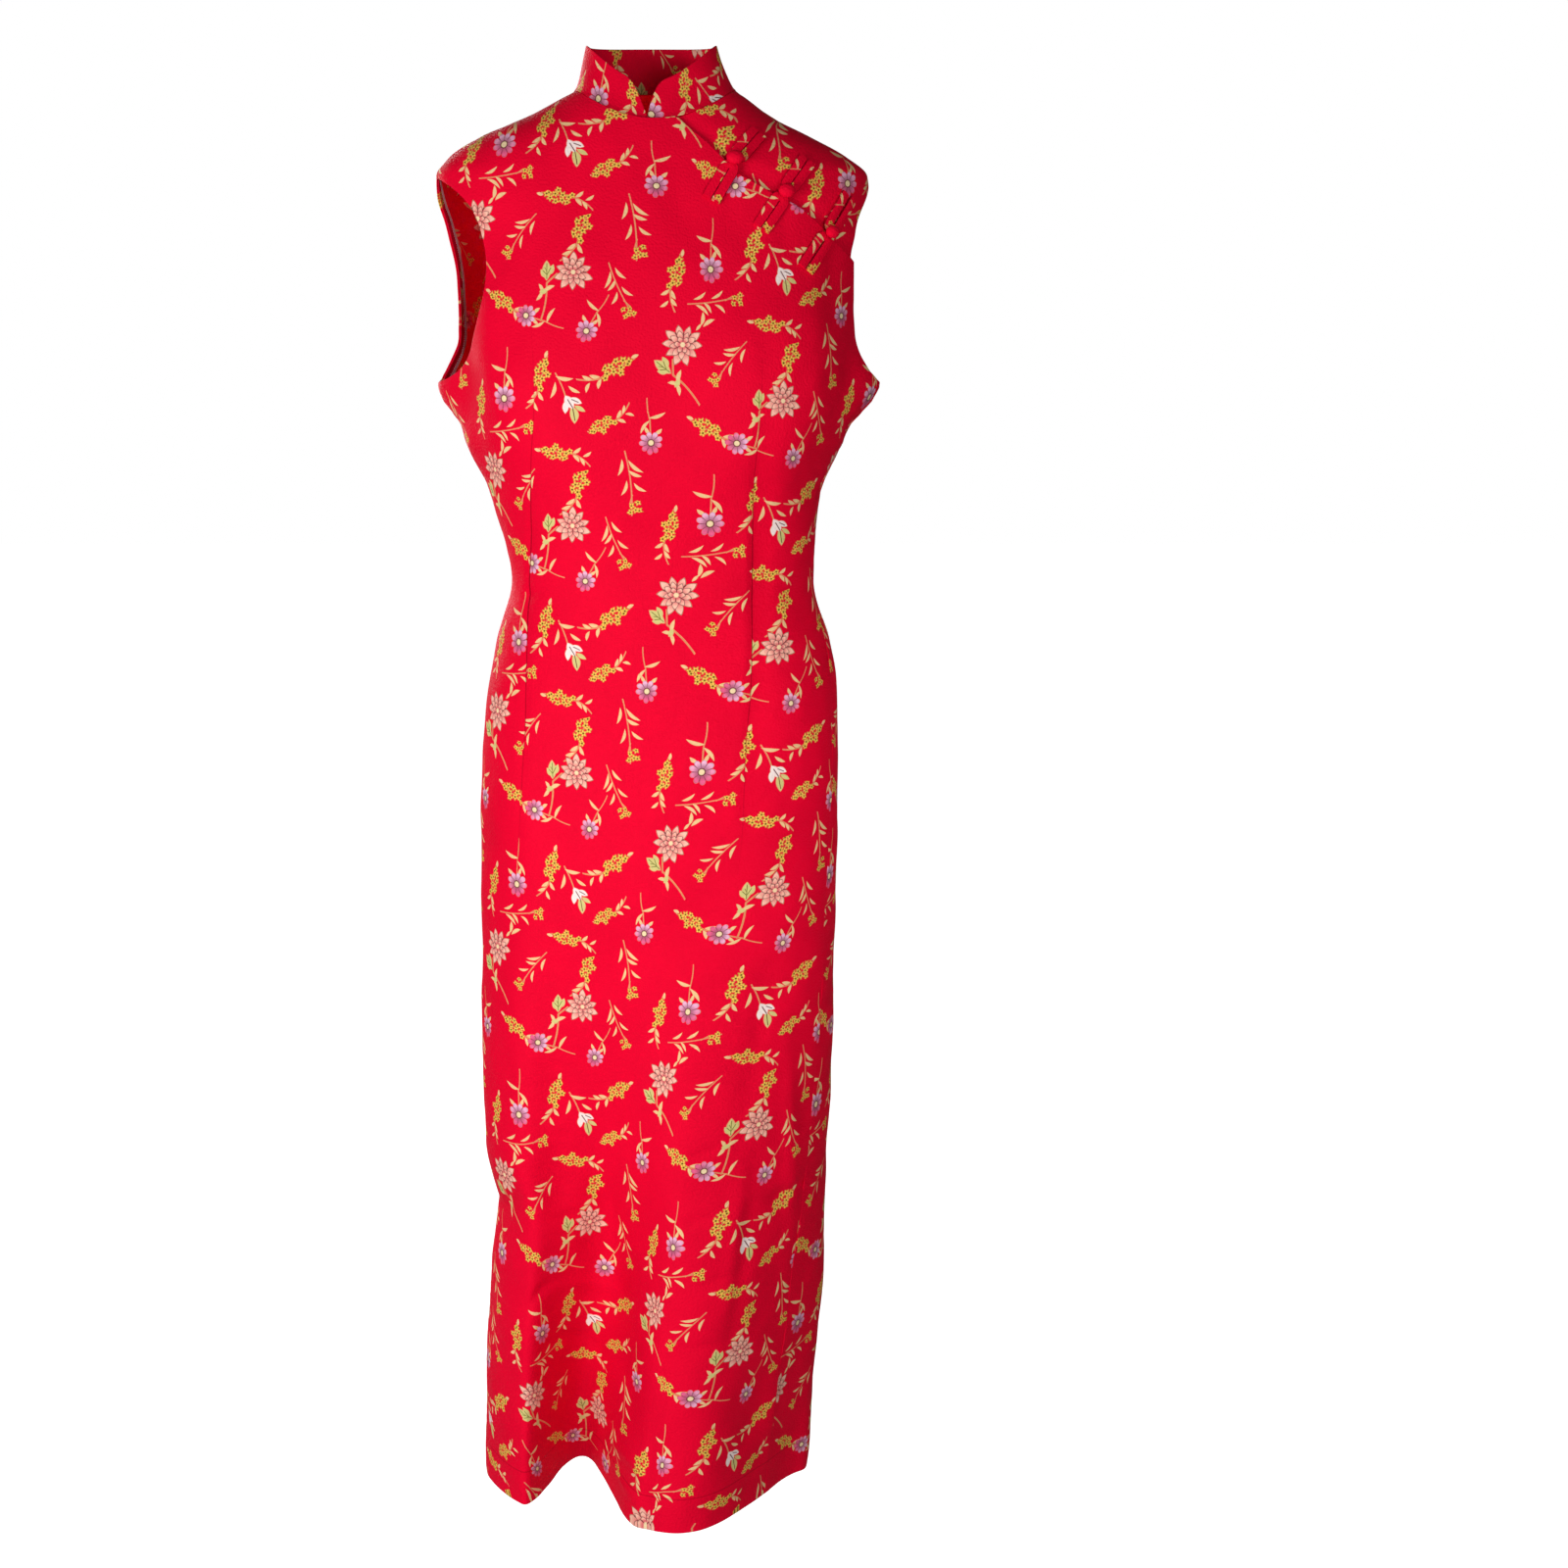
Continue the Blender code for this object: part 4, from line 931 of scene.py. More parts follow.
# Creases and ridges of the front, seen from the front: millimetres wide and deep, then across and height
creases = {
    "neckSoft": ((16, -1.8), (0.016, -0.057), (0.023, -0.139)),
    "underFrog3": ((9, -2.2), (0.158, -0.127), (0.161, -0.167), (0.164, -0.216)),
    "underFrog2": ((8, -1.2), (0.117, -0.112), (0.114, -0.153)),
    "underFrog1": ((8, -1.0), (0.071, -0.082), (0.065, -0.125)),
    "leftArmTrough": ((9, -1.8), (-0.172, -0.100), (-0.186, -0.122)),
    "leftArmRidge": ((10, 1.2), (-0.166, -0.067), (-0.154, -0.090)),
    "bustSideLeft": ((10, 1.4), (-0.151, -0.186), (-0.153, -0.237), (-0.150, -0.290)),
    "bustSideRight": ((10, 1.4), (0.145, -0.212), (0.147, -0.259), (0.143, -0.308)),
    "leftLeg": ((19, -4.0), (-0.097, -0.635), (-0.093, -0.776), (-0.100, -0.927), (-0.103, -1.121),
                (-0.102, -1.339)),
    "leftLegRidge": ((13, 2.2), (-0.074, -0.980), (-0.074, -1.086), (-0.079, -1.190)),
    "parting": ((14, -4.0), (-0.054, -1.011), (-0.041, -1.121), (-0.033, -1.209), (-0.017, -1.280)),
    "rightThigh": ((12, -2.2), (0.111, -0.811), (0.096, -0.902), (0.079, -0.982)),
    "sideRidge": ((8, 2.6), (0.128, -0.878), (0.133, -0.990), (0.137, -1.115)),
    "kneeRidge": ((10, 2.6), (0.090, -1.003), (0.081, -1.064), (0.072, -1.143)),
    "kneeTrough": ((8, -2.4), (0.095, -1.003), (0.088, -1.072), (0.080, -1.145), (0.072, -1.198)),
    "sideRidgeLow": ((8, 2.2), (0.134, -1.119), (0.132, -1.178), (0.123, -1.245)),
    "sideTrough": ((9, -2.0), (0.146, -1.066), (0.135, -1.156), (0.123, -1.248)),
    "hemRidge": ((10, 2.2), (0.122, -1.239), (0.114, -1.343)),
    "hemTrough": ((9, -1.8), (0.114, -1.250), (0.094, -1.288), (0.072, -1.317)),
    "drag1": ((5, -2.1), (0.045, -1.119), (0.080, -1.115)),
    "drag2": ((5, -2.4), (0.024, -1.182), (0.067, -1.184)),
    "drag3": ((5, -2.1), (0.028, -1.058), (0.058, -1.052)),
    "drag4": ((5, -3.8), (0.112, -1.047), (0.148, -1.043)),
    "drag5": ((6, -3.0), (-0.135, -1.172), (-0.112, -1.149), (-0.096, -1.141)),
    "drag6": ((5, -2.1), (-0.099, -1.074), (-0.064, -1.072)),
    "drag7": ((6, 2.7), (-0.101, -1.145), (-0.068, -1.154), (-0.043, -1.162)),
    "drag8": ((5, -2.4), (-0.105, -1.205), (-0.078, -1.217), (-0.056, -1.233)),
    "drag9": ((6, 3.0), (-0.046, -1.317), (-0.022, -1.309), (0.004, -1.331)),
    "drag10": ((5, 2.4), (-0.041, -1.339), (-0.018, -1.343)),
    "drag11": ((5, -2.1), (0.029, -0.994), (0.067, -0.984)),
    "drag12": ((6, -3.3), (-0.160, -1.084), (-0.133, -1.047)),
    "dartRidge": ((5, 1.0), (0.0920, -0.235), (0.0890, -0.308), (0.0863, -0.361), (0.0864, -0.453),
                  (0.0855, -0.543), (0.0811, -0.596), (0.0775, -0.680)),
    "dartTrough": ((11, -2.6), (0.1040, -0.235), (0.1010, -0.308), (0.0985, -0.361), (0.0986, -0.453),
                   (0.0977, -0.543), (0.0935, -0.596), (0.0900, -0.680)),
    "dartTroughLeft": ((8, -0.8), (-0.1160, -0.270), (-0.1290, -0.417), (-0.1350, -0.474), (-0.1310, -0.582)),
    "hipDrag": ((6, -1.8), (0.130, -0.827), (0.158, -0.811)),
    "waistDragRight": ((6, -1.8), (0.112, -0.463), (0.146, -0.447)),
    "waistDragLeft": ((6, -1.7), (-0.130, -0.465), (-0.099, -0.453)),
}
backCreases = {
    "seatLeft": ((16, -1.6), (-0.060, -0.720), (-0.066, -0.860), (-0.070, -1.020)),
    "seatRight": ((16, -1.6), (0.064, -0.720), (0.070, -0.860), (0.074, -1.020)),
    "bladeLeft": ((14, -1.0), (-0.105, -0.150), (-0.095, -0.260)),
    "bladeRight": ((14, -1.0), (0.110, -0.150), (0.100, -0.260)),
    "waistLeft": ((8, -1.1), (-0.120, -0.440), (-0.085, -0.452)),
    "waistRight": ((8, -1.1), (0.095, -0.450), (0.130, -0.438)),
    "waistDrag1": ((7, -0.8), (-0.040, -0.470), (-0.005, -0.476)),
    "waistDrag2": ((7, -0.8), (0.015, -0.432), (0.052, -0.436)),
    "backFall1": ((12, -2.0), (0.010, -1.060), (0.012, -1.200), (0.010, -1.340)),
    "backFall2": ((11, 1.8), (-0.105, -1.080), (-0.110, -1.220), (-0.112, -1.345)),
    "backFall3": ((11, 1.8), (0.112, -1.090), (0.114, -1.220), (0.112, -1.345)),
    "kneeDrag1": ((6, -0.9), (-0.080, -1.090), (-0.040, -1.080)),
    "kneeDrag2": ((6, -0.9), (0.040, -1.075), (0.082, -1.088)),
}
darts = {  # height and across down each seam
    "right": ((-0.218, 0.0970), (-0.272, 0.0962), (-0.308, 0.0939), (-0.361, 0.0913), (-0.453, 0.0914),
              (-0.543, 0.0905), (-0.596, 0.0861), (-0.680, 0.0824), (-0.727, 0.0776)),
    "left": ((-0.216, -0.1110), (-0.265, -0.1082), (-0.343, -0.1130), (-0.417, -0.1170), (-0.474, -0.1195),
             (-0.582, -0.1230), (-0.733, -0.1325)),
}
backDarts = {
    "backRight": ((-0.250, 0.085), (-0.350, 0.079), (-0.450, 0.078), (-0.560, 0.080), (-0.640, 0.084)),
    "backLeft": ((-0.250, -0.085), (-0.350, -0.079), (-0.450, -0.078), (-0.560, -0.080), (-0.640, -0.084)),
}
dartFit = {"intake": 0.009, "intakeReach": 0.040, "waist": -0.455, "groove": 0.0011, "grooveWidth": 0.0035}
seamFit = {"pucker": 0.00028, "puckerWave": 0.013, "puckerReach": 0.008, "abovePit": 0.01, "hemTurn": 0.035,
           "hemExtra": 0.0005, "edgeLine": 0.0009}
creaseFit = {"points": 41, "reach": 3, "endShare": 0.06, "endFade": 0.8, "uneven": 0.8}
unevenWaves = (  # waves per metre round and down, phase, millimetres
    (9.0, 5.0, 0.4, 0.55), (-6.0, 11.0, 1.7, 0.45), (17.0, -9.0, 2.9, 0.28), (23.0, 16.0, 4.1, 0.18),
    (-31.0, 21.0, 5.2, 0.12), (41.0, -34.0, 0.9, 0.08),
)


def creaseRelief(points, lines):  # soft furrows and ridges along lines seen from the front
    total = np.zeros(points.shape[:-1])
    for (width, depth), *line in lines.values():
        line = np.array(line, float)
        spans = runOf(line)
        t = np.linspace(0, 1, creaseFit["points"])
        path = np.stack([smoothCurve(spans / spans[-1], line[:, k])(t) for k in (0, 1)], axis=1)
        reach = creaseFit["reach"] * width / 1000
        low, high = path.min(axis=0) - reach, path.max(axis=0) + reach
        near = ((points[..., 0] > low[0]) & (points[..., 0] < high[0])
                & (points[..., 2] > low[1]) & (points[..., 2] < high[1]))
        away = np.linalg.norm(points[near][:, None, [0, 2]] - path, axis=-1)
        along = creaseFit["endShare"] + (1 - 2 * creaseFit["endShare"]) * t[away.argmin(axis=1)]
        fade = np.sin(math.pi * along) ** creaseFit["endFade"]
        total[near] += depth / 1000 * fade * np.exp(-(away.min(axis=1) / (width / 1000)) ** 2)
    return total


def dartSides(points, lines):  # metres to the side of the nearest dart, and the cloth it takes there
    side, cut = np.full(points.shape[:-1], 1.0), np.zeros(points.shape[:-1])
    for line in lines.values():
        line = np.array(line, float)
        across = smoothCurve(line[:, 0], line[:, 1])(points[..., 2])
        away = points[..., 0] - across
        nearer = np.abs(away) < np.abs(side)
        top, low, waist = line[0, 0], line[-1, 0], dartFit["waist"]
        above = np.clip((top - points[..., 2]) / (top - waist), 0, 1)
        under = np.clip((points[..., 2] - low) / (waist - low), 0, 1)
        faded = np.exp(-np.abs(away) / dartFit["intakeReach"])
        intake = dartFit["intake"] / 2 * np.minimum(above, under) * faded
        side, cut = np.where(nearer, away, side), np.where(nearer, intake, cut)
    return side, cut


def clothRelief(grid, points, face):
    relief = creaseRelief(points, creases if face == "front" else backCreases)
    side, cut = dartSides(points, darts if face == "front" else backDarts)
    taken = np.clip(cut / (dartFit["intake"] / 2), 0, 1) ** 0.5
    relief -= dartFit["groove"] * taken * np.exp(-(side / dartFit["grooveWidth"]) ** 2)
    flat = clothMap(grid, face)
    for perAcross, perDown, phase, size in unevenWaves:
        turn = 2 * math.pi * (perAcross * flat[..., 0] + perDown * points[..., 2]) + phase
        relief += size / 1000 * creaseFit["uneven"] * np.sin(turn)
    steps = np.linalg.norm(np.diff(points, axis=1), axis=-1)
    fromLeft = np.concatenate([np.zeros((len(points), 1)), np.cumsum(steps, axis=1)], axis=1)
    toSeam = np.minimum(fromLeft, fromLeft[:, -1:] - fromLeft)
    seamed = points[..., 2] < shape["pit"] + seamFit["abovePit"]
    wave = np.sin(2 * math.pi * points[..., 2] / seamFit["puckerWave"])
    relief += seamFit["pucker"] * seamed * wave * np.exp(-toSeam / seamFit["puckerReach"])
    return relief, np.stack([side, cut, 0 * cut], axis=-1)


def withEdgeLines(grids, reach):  # one more line of points close to each edge keeps the edge crisp
    for axis in (0, 1):
        grids = [np.moveaxis(g, axis, 0) for g in grids]
        for _ in range(2):
            step = np.linalg.norm(grids[0][1] - grids[0][0], axis=-1, keepdims=True)
            share = np.clip(reach / np.maximum(step, 1e-9), 0, 0.5)
            grids = [np.concatenate([g[:1], (g[0] + (g[1] - g[0]) * share)[None], g[1:]])[::-1]
                     for g in grids]
        grids = [np.moveaxis(g, 0, axis) for g in grids]
    return grids


def makePanel(name, grid, face, lift, materials):
    places, heights = grid[..., 0], grid[..., 1]
    base = clothPoint(places, heights)
    relief, sides = clothRelief(grid, base, face)
    raised = lift(base) + relief
    hemmed = seamFit["hemExtra"] * (heights < shape["hem"] + seamFit["hemTurn"])
    outer = easeEdges(clothPoint(places, heights, raised))
    inner = easeEdges(clothPoint(places, heights, raised - shape["cloth"] - hemmed))
    flat = clothMap(grid, face)
    outer, inner, flat, sides = withEdgeLines([outer, inner, flat, sides], seamFit["edgeLine"])
    piece = addWall(name, outer, inner, flat, materials, "printed_crepe")
    layer = piece.data.attributes.new("dartSide", "FLOAT_VECTOR", "POINT")
    spread = np.zeros((len(piece.data.vertices), 3))
    spread[:, 0] = 1.0
    spread[:outer.shape[0] * outer.shape[1]] = sides.reshape(-1, 3)
    layer.data.foreach_set("vector", spread.ravel())
    area = gridArea(outer)
    print(name, "made,", len(piece.data.polygons), "faces, cloth", round(area, 3), "square metres")
    return piece, area


backCells, panelFinishes = backGrid(), [finishes["panel"], finishes["inside"]]
front, frontArea = makePanel("frontPanel", frontGrid(), "front", frontLift, panelFinishes)
back, backArea = makePanel("backPanel", backCells, "back", level, panelFinishes)
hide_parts("front_panel")
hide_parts("back_panel")

# Shoulder piece under the slanting opening; its print is cut from another part of the cloth
shoulderFit = {"printAcross": 0.060, "printUp": 0.034, "columns": 72, "rows": 52, "fallShare": 0.5}
shoulderFall = {"fall": ((9, -1.0), (0.158, -0.100), (0.161, -0.150))}


def makeShoulderPiece():
    grid = shoulderPieceGrid(shoulderFit["columns"], shoulderFit["rows"])
    base = clothPoint(grid[..., 0], grid[..., 1])
    lift = tuckedLift(base) + shoulderFit["fallShare"] * creaseRelief(base, shoulderFall)
    outer = easeEdges(clothPoint(grid[..., 0], grid[..., 1], lift))
    inner = easeEdges(clothPoint(grid[..., 0], grid[..., 1], lift - shape["cloth"]))
    flat = clothMap(grid, "front") + [shoulderFit["printAcross"], shoulderFit["printUp"]]
    outer, inner, flat = withEdgeLines([outer, inner, flat], seamFit["edgeLine"])
    materials = [finishes["plain"], finishes["inside"]]
    piece = addWall("shoulderPiece", outer, inner, flat, materials, "printed_crepe")
    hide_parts("shoulder_piece")
    return piece, gridArea(outer)


shoulderPiece, shoulderArea = makeShoulderPiece()
print("shoulder piece made")

# Standing collar: an interfaced band with rounded front ends
collarFit = {
    "height": 0.040, "wall": 0.0022, "topWall": 0.0015, "gap": 0.0005, "topHalfWidth": 0.0605,
    "topCentre": -0.0030, "topDepth": 0.0490, "topBack": 0.0030, "corner": 0.026, "notch": 0.0012,
    "endShare": 0.06, "notchTurn": -5.5, "cornerShape": 2.8, "frontDrop": 0.17, "frontReach": 0.045,
    "lean": 0.25, "hollow": 0.7, "rows": 18, "columns": 84, "endColumns": 30, "endReach": 0.135, "crowd": 1.4,
    "printBack": 0.050, "printUp": 0.003, "uneven": 0.0004, "waves": 5, "edgeLine": 0.0007,
    "edgeBulge": 0.0005,
}


def makeCollar():
    fit = collarFit
    notchTurn = math.degrees(fit["notch"] / 2 / neckHalfWidth)
    ends = fit["endReach"] * np.linspace(0, 1, fit["endColumns"] + 1) ** fit["crowd"]
    middle = np.linspace(fit["endReach"], 1 - fit["endReach"], fit["columns"] + 1)[1:-1]
    turns = notchTurn + np.concatenate([ends, middle, 1 - ends[::-1]]) * (360 - 2 * notchTurn)
    ups = np.linspace(0, 1, fit["rows"] + 1)
    outer = np.zeros((len(ups), len(turns), 3))
    inner = outer.copy()
    rise = np.zeros(outer.shape[:2])
    for col, turn in enumerate(turns):
        turn = turn + fit["notchTurn"]
        place, height = neckPlace((turn + 180) % 360 - 180)
        base = clothPoint(np.array(place), np.array(height))
        sine, cosine = math.sin(math.radians(turn)), math.cos(math.radians(turn))
        top = np.array([fit["topCentre"] + fit["topHalfWidth"] * sine,
                        fit["topBack"] - fit["topDepth"] * cosine, height + fit["height"]])
        fromNotch = turn - fit["notchTurn"]
        nearEnd = math.radians(min(fromNotch, 360 - fromNotch)) * neckHalfWidth
        rounded = 1 - min(nearEnd / fit["corner"], 1.0)
        tall = max(1 - rounded ** fit["cornerShape"], fit["endShare"])
        tall *= 1 - fit["frontDrop"] * math.exp(-(nearEnd / fit["frontReach"]) ** 2)
        outward = unit(np.array([sine, -cosine, fit["lean"]]))
        foot = base + np.array([0, 0, fit["gap"]])
        for row, share in enumerate(ups):
            up = tall * share
            point = foot + (top - foot) * np.array([up ** fit["hollow"], up ** fit["hollow"], up])
            wave = math.sin(math.radians(turn * fit["waves"]) + 4 * up)
            waver = fit["uneven"] * wave * math.sin(math.pi * up)
            wall = fit["wall"] + (fit["topWall"] - fit["wall"]) * share
            outer[row, col] = point + outward * waver
            inner[row, col] = point + outward * (waver - wall)
            rise[row, col] = up * fit["height"]
    arc = runOf(outer[0])
    across = np.broadcast_to(arc - arc[-1] + fit["printBack"] + motifPlaces["daisy"][0][0], rise.shape)
    flat = np.stack([across, rise - fit["printUp"] + motifPlaces["daisy"][0][1]], axis=-1)
    area = gridArea(outer)
    outer, inner, flat = withEdgeLines([outer, inner, flat], fit["edgeLine"])
    materials = [finishes["collar"], finishes["collar"]]
    piece = addWall("standingCollar", outer, inner, flat, materials, "printed_crepe", fit["edgeBulge"])
    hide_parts("collar")
    return piece, area, arc[-1]


collar, collarArea, collarLength = makeCollar()
print("collar made,", round(collarLength, 3), "metres round its foot")


def alongPath(path, spacing):  # even points along a line
    run = runOf(path)
    where = np.linspace(0, run[-1], max(2, int(round(run[-1] / spacing)) + 1))
    return np.stack([np.interp(where, run, path[:, i]) for i in range(3)], axis=1)


def makeTube(name, path, normals, profile, materials, slot, flatShift=(0, 0), sharp=80, widths=1, skins=0):
    count, sides = len(path), len(profile)
    tangents = np.gradient(path, axis=0)
    across = unit(np.cross(tangents, normals))
    upright = unit(np.cross(across, tangents))
    widths = np.broadcast_to(widths, count)
    points = (path[:, None] + across[:, None] * (profile[None, :, :1] * widths[:, None, None])
              + upright[:, None] * profile[None, :, 1:])
    index = np.arange(count * sides).reshape(count, sides)
    here, there = index[:-1], index[1:]
    walls = np.stack([here, there, np.roll(there, -1, axis=1), np.roll(here, -1, axis=1)], axis=-1)
    faces = walls.reshape(-1, 4).tolist() + [index[0].tolist(), index[-1, ::-1].tolist()]
    flat = np.zeros((count, sides, 2))
    flat[..., 0] = runOf(path)[:, None] + flatShift[0]
    flat[..., 1] = profile[None, :, 0] + flatShift[1]
    allSkins = np.concatenate([np.broadcast_to(skins, (count - 1, sides)).ravel(), [0, 0]])
    return addPiece(name, points.reshape(-1, 3), faces, flat.reshape(-1, 2), allSkins, materials, slot, sharp)


def roundProfile(radius, sides):
    turn = np.arange(sides) * 2 * math.pi / sides
    return np.stack([np.cos(turn), np.sin(turn)], axis=1) * radius


# Edges turned in round the armholes, with overlock thread along their free edge
turningFit = {"width": 0.012, "wall": 0.0008, "gap": 0.0006, "columns": 14, "steps": 6, "fromEdge": 0.0004,
              "fromPit": 4, "fromTip": 3, "edgeLine": 0.0005, "edgeBulge": 0.0002}
threadFit = {"radius": 0.00040, "thinner": 0.9, "pitch": 0.0022, "reach": 0.0040, "over": 0.15,
             "edgeOut": 0.0002, "sides": 5}


def makeThreads(word, free, fold):  # a zigzag over the free edge and a line along it
    fit = threadFit
    line = alongPath(free, fit["pitch"] / 2)
    towardsFold = unit(stretched(alongPath(fold, fit["pitch"] / 2), len(line)) - line)
    inwards = unit(np.cross(np.gradient(line, axis=0), towardsFold))
    inwards = inwards * np.sign((-inwards * line * [1, 1, 0]).sum(axis=1, keepdims=True))
    swing = np.where(np.arange(len(line)) % 2 == 0, -fit["over"], 1.0)[:, None] * fit["reach"]
    thick, thin = fit["radius"], fit["radius"] * fit["thinner"]
    overlock = line + towardsFold * swing + inwards * thin
    edge = line + inwards * thick - towardsFold * fit["edgeOut"]
    threads = []
    for name, route, radius, spacing in (("overlockThread", overlock, thick, 5),
                                         ("edgeThread", edge, thin, 3)):
        path = alongPath(route, fit["pitch"] / spacing)
        threads.append(makeTube(name + word, path, stretched(inwards, len(path)),
                                roundProfile(radius, fit["sides"]), [finishes["thread"]], "crepe_inside"))
    return threads


def makeTurning(side, word):
    fit = turningFit
    base = clothPoint(backCells[..., 0], backCells[..., 1])
    relief, _ = clothRelief(backCells, base, "back")
    rows = slice(gridFit["rowsBelow"] + fit["fromPit"], -fit["fromTip"])
    columns = slice(fit["columns"]) if side > 0 else slice(None, -fit["columns"] - 1, -1)
    cells, relief = backCells[rows, columns], relief[rows, columns]
    where = fit["fromEdge"] + np.linspace(0, 1, fit["steps"]) * (fit["width"] - fit["fromEdge"])
    skins = []
    for depth in (shape["cloth"] + fit["gap"], shape["cloth"] + fit["gap"] + fit["wall"]):
        points = clothPoint(cells[..., 0], cells[..., 1], relief - depth)
        skins.append(np.array([np.stack([np.interp(where, runOf(row), row[:, i]) for i in range(3)], axis=1)
                               for row in points]))
    outer, inner = skins
    across = np.linspace(0, fit["width"], fit["steps"])
    flat = clothMap(cells, "back")[:, :1] + np.stack([across, 0 * across], axis=-1)
    free, fold = inner[:, -1], inner[:, -2]
    if side < 0:
        outer, inner, flat = outer[:, ::-1], inner[:, ::-1], flat[:, ::-1]
    outer, inner, flat = withEdgeLines([outer, inner, flat], fit["edgeLine"])
    piece = addWall("armholeTurning" + word, outer, inner, flat, [finishes["inside"], finishes["inside"]],
                    "crepe_inside", fit["edgeBulge"])
    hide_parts("armhole_turning_" + word.lower())
    makeThreads(word, free, fold)


for side, word in ((-1, "Left"), (1, "Right")):
    makeTurning(side, word)
print("armhole turnings made")

# Frog closures: two flat tubes on each side of a knot, as seen from the front
# one of these keys sets how far in from each side of a frog tube the faces get painted shade
frogFit = {"width": 0.0088, "thick": 0.0026, "apart": 0.0001, "gap": 0.0003, "spacing": 0.0008, "sides": 26,
           "squareness": 0.5, "stitchIn": 0.0012, "stitchWidth": 0.0004, "stitchDepth": 0.00045,
           "paintedShadeBand": 0.0003, "endTaper": 0.0012, "endNarrow": 0.12, "uneven": 0.02, "unevenTurns": 900,
           "steps": 12, "printStep": 0.004, "loopPrint": (-0.100, 0.032), "tailsPrint": (-0.096, 0.088)}
knotFit = {"width": (0.0142, 0.0140, 0.0126), "thick": 0.0098, "gap": 0.0001, "around": 40, "levels": 22,
           "wrap": 0.00032, "wrapTurn": (3.3, 6.0, 2.2), "wrapSharp": 5, "broad": 1.12, "low": 0.92}
frogNames = ("topAcross", "topHeight", "knotAcross", "knotHeight", "lowAcross", "lowHeight")
frogs = (
    (0.0935, -0.0430, 0.0705, -0.0700, 0.0500, -0.1040),
    (0.1380, -0.0670, 0.1160, -0.0975, 0.0945, -0.1290),
    (0.1770, -0.0970, 0.1560, -0.1315, 0.1350, -0.1640),
)


def frontAt(across, height):  # point and normal of the worn front, and how far the panel stands off there
    place = placeAt(across, height)
    base = clothPoint(np.array(place), np.array(height))
    normal = clothNormal(viewAngle(np.array(place), np.array(height)), np.array(height))
    return base, normal, float(frontLift(base))


def hairpin(ends, bend):  # out along one tube, round the bend and back along the other
    length = np.linalg.norm(bend - ends)
    forward = (bend - ends) / length
    sideways = np.array([-forward[1], forward[0]])
    half = (frogFit["width"] + frogFit["apart"]) / 2
    straight = forward * (length - half)
    steps = np.linspace(0, 1, frogFit["steps"])
    route = [ends - sideways * half + straight * step for step in steps]
    route += [ends + straight + half * (forward * math.sin(turn) - sideways * math.cos(turn))
              for turn in math.pi * steps[1:-1]]
    route += [ends + sideways * half + straight * step for step in steps[::-1]]
    return np.array(route)


def frogProfile():  # a flat oval with a stitched groove near each edge, and which of its sides get painted shade
    fit = frogFit
    turn = (np.arange(fit["sides"]) + 0.5) * 2 * math.pi / fit["sides"]
    wide, tall = (np.sign(wave) * np.abs(wave) ** fit["squareness"] for wave in (np.cos(turn), np.sin(turn)))
    wide, tall = wide * fit["width"] / 2, tall * fit["thick"] / 2
    fromEdge = fit["width"] / 2 - np.abs(wide)
    groove = fit["stitchDepth"] * np.exp(-((fromEdge - fit["stitchIn"]) / fit["stitchWidth"]) ** 2)
    profile = np.stack([wide, np.where(tall > 0, tall - groove, tall)], axis=1)
    middles = fit["width"] / 2 - np.abs(profile + np.roll(profile, -1, axis=0))[:, 0] / 2
    return profile, middles < fit["paintedShadeBand"]


def makeFrogSide(name, ends, bend, shift, node):
    fit = frogFit
    centres, normals = [], []
    for across, height in hairpin(ends, bend):
        base, normal, lift = frontAt(across, height)
        clear = max(0.0, float(creaseRelief(base[None], creases)[0]))
        centres.append(base + normal * (lift + fit["gap"] + fit["thick"] / 2 + clear))
        normals.append(normal)
    path = alongPath(np.array(centres), fit["spacing"])
    ways = stretched(np.array(normals), len(path))
    run = np.arange(len(path)) * fit["spacing"]
    toEnd = np.minimum(run, run[::-1])
    widths = 1 - fit["endNarrow"] * np.exp(-toEnd / fit["endTaper"])
    widths = widths + fit["uneven"] * np.sin(run * fit["unevenTurns"])
    # the side faces of each tube take the painted shade finish
    profile, paintedShadeSides = frogProfile()
    materials = [finishes["frog"], finishes["frogEdge"]]
    piece = makeTube(name, path, ways, profile, materials, "plain_crepe", shift, 70, widths, paintedShadeSides)
    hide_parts(node)
    return piece


def makeKnot(name, across, height, width, node):
    fit = knotFit
    base, normal, lift = frontAt(across, height)
    side = unit(np.cross([0.0, 0.0, 1.0], normal))
    axes = np.stack([side, np.cross(normal, side), normal], axis=1)
    bpy.ops.object.select_all(action="DESELECT")
    bpy.ops.mesh.primitive_uv_sphere_add(segments=fit["around"], ring_count=fit["levels"], radius=1.0)
    piece = bpy.context.object
    piece.name = name
    ball = np.zeros(len(piece.data.vertices) * 3)
    piece.data.vertices.foreach_get("co", ball)
    ball = ball.reshape(-1, 3)
    wraps = np.abs(np.sin(ball @ fit["wrapTurn"]))
    dent = 1 - fit["wrap"] / (width / 2) * np.clip(1 - wraps * fit["wrapSharp"], 0, 1)
    piece.data.vertices.foreach_set("co", (ball * dent[:, None]).ravel())
    piece.scale = (width / 2 * fit["broad"], width / 2 * fit["low"], fit["thick"] / 2)
    piece.rotation_euler = mathutils.Matrix(axes.tolist()).to_euler()
    stand = lift + frogFit["gap"] + frogFit["thick"] + fit["gap"] + fit["thick"] / 2
    piece.location = base + normal * stand
    bpy.ops.object.transform_apply(location=True, rotation=True, scale=True)
    skins = np.zeros(len(piece.data.polygons))
    finishPiece(piece, ball[:, :2] * width / 2, skins, [finishes["knot"]], "plain_crepe")
    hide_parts(node)
    return piece


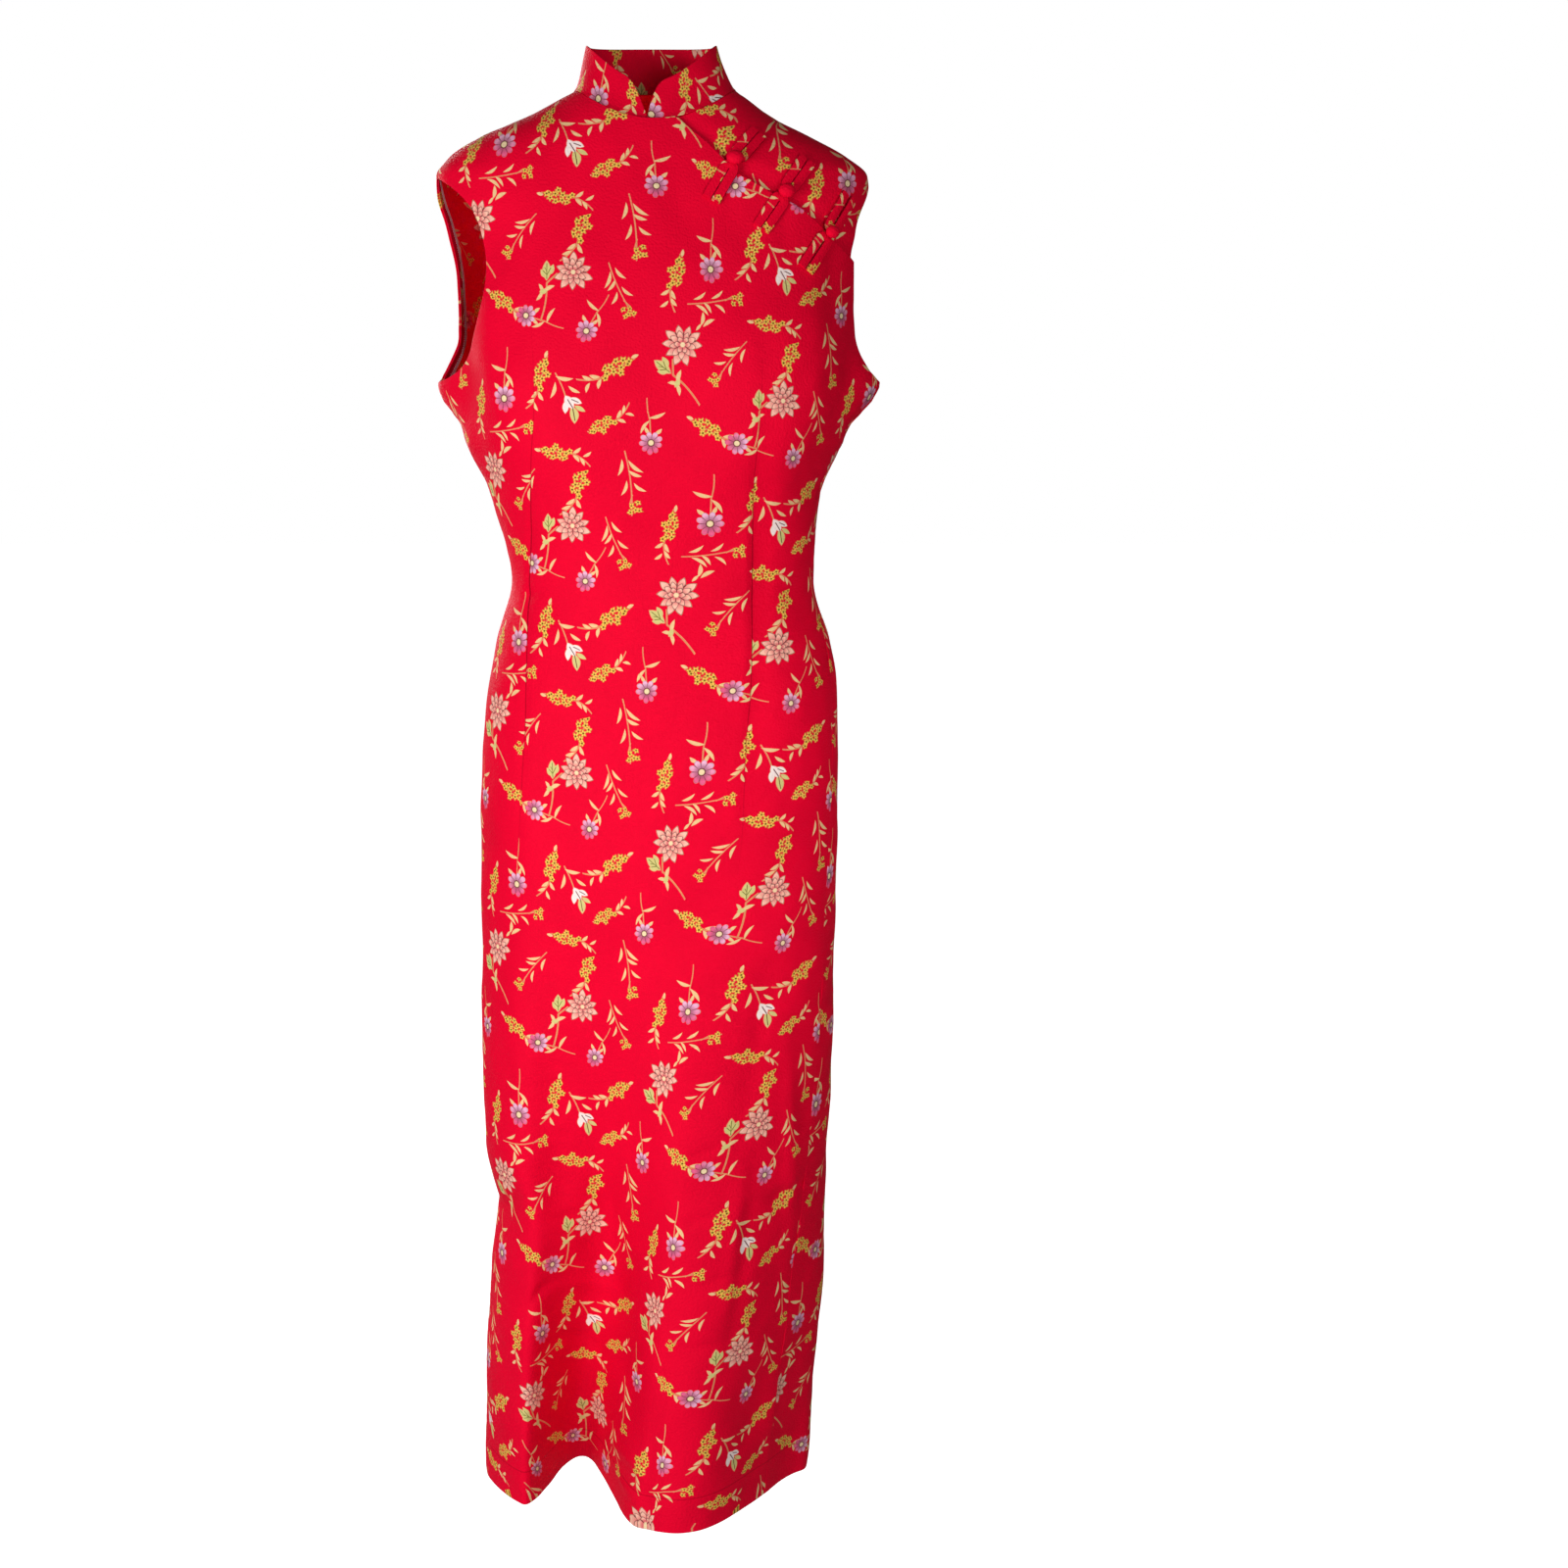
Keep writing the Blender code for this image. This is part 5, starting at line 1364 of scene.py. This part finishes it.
for number, row in enumerate(frogs, start=1):
    frog = dict(zip(frogNames, row))
    top, knot, low = (np.array([frog[end + "Across"], frog[end + "Height"]])
                      for end in ("top", "knot", "low"))
    step = frogFit["printStep"] * number
    loopPrint = np.array(frogFit["loopPrint"]) + [step, 0]
    tailsPrint = np.array(frogFit["tailsPrint"]) + [0, step]
    for word, ends, shift in (("Loop", top, loopPrint), ("Tails", low, tailsPrint)):
        bend = knot + unit(ends - knot) * (frogFit["width"] / 2 + shape["seamGap"])
        node = "frog_%d_%s" % (number, word.lower())
        makeFrogSide("frog%d%s" % (number, word), ends, bend, shift, node)
    width = knotFit["width"][number - 1]
    makeKnot("frog%dKnot" % number, *knot, width, "frog_%d_knot" % number)
print("frog closures made")

# Floor, light and camera
studio = {"floorHeight": -1.60, "floorSize": 30.0, "floorColour": (0.35, 0.35, 0.35, 1),
          "floorRoughness": 0.9, "floorGlow": 0.97,
          "air": (1.0, 1.0, 1.0, 1), "airGlow": 1.0, "airLight": 0.12}
lamps = {  # place, what it points at, size, strength, how wide its light spreads in degrees
    "keyLamp": ((-1.15, -1.55, -0.55), (0.0, 0.0, -0.55), 0.9, 31, 180),
    "frontLamp": ((0.75, -2.60, -0.50), (0.0, 0.0, -0.52), 1.3, 30, 180),
    "sideLamp": ((1.20, -1.10, -0.66), (0.13, 0.0, -0.66), 0.4, 0.17, 30),
    "backLamp": ((-1.30, 2.00, 0.20), (-0.1, 0.0, -0.40), 1.6, 60, 180),
}
cameraFit = {"place": (0.0, -2.035, -0.257), "tilt": 79.0, "lens": 48.375, "sensor": 36.0, "shift": 0.0825}


def seenOrLit(tree, seen, lit):  # what the eye sees of the backdrop is paler than the light it gives
    sight = tree.nodes.new("ShaderNodeLightPath")
    mix = tree.nodes.new("ShaderNodeMix")
    mix.data_type = "FLOAT"
    tree.links.new(sight.outputs["Is Camera Ray"], mix.inputs[0])
    mix.inputs[2].default_value, mix.inputs[3].default_value = lit, seen
    return mix.outputs[0]


def makeFloor():
    bpy.ops.object.select_all(action="DESELECT")
    bpy.ops.mesh.primitive_plane_add(size=studio["floorSize"], location=(0, 0, studio["floorHeight"]))
    floor = bpy.context.object
    floor.name = "floor"
    paint, tree, shader = newFinish("floorPaint", studio["floorRoughness"])
    shader.inputs["Base Color"].default_value = studio["floorColour"]
    shader.inputs["Emission Color"].default_value = studio["air"]
    tree.links.new(seenOrLit(tree, studio["floorGlow"], 0.0), shader.inputs["Emission Strength"])
    floor.data.materials.append(paint)


def makeAir():
    air = bpy.data.worlds.new("studioAir")
    air.use_nodes = True
    sky = air.node_tree.nodes["Background"]
    sky.inputs["Color"].default_value = studio["air"]
    glow = seenOrLit(air.node_tree, studio["airGlow"], studio["airLight"])
    air.node_tree.links.new(glow, sky.inputs["Strength"])
    bpy.context.scene.world = air


def makeLamps():
    for name, (place, target, size, strength, spread) in lamps.items():
        light = bpy.data.lights.new(name, "AREA")
        light.size, light.energy, light.spread = size, strength, math.radians(spread)
        lamp = bpy.data.objects.new(name, light)
        lamp.location = place
        direction = mathutils.Vector(target) - mathutils.Vector(place)
        lamp.rotation_euler = direction.to_track_quat("-Z", "Y").to_euler()
        bpy.context.scene.collection.objects.link(lamp)


def makeCamera():
    camera = bpy.data.objects.new("camera", bpy.data.cameras.new("camera"))
    camera.data.lens, camera.data.sensor_width = cameraFit["lens"], cameraFit["sensor"]
    camera.data.shift_x = cameraFit["shift"]
    camera.location = cameraFit["place"]
    camera.rotation_euler = (math.radians(cameraFit["tilt"]), 0, 0)
    bpy.context.scene.collection.objects.link(camera)
    bpy.context.scene.camera = camera
    bpy.context.scene.view_settings.view_transform = "Standard"


makeFloor()
makeAir()
makeLamps()
makeCamera()
print("studio ready")
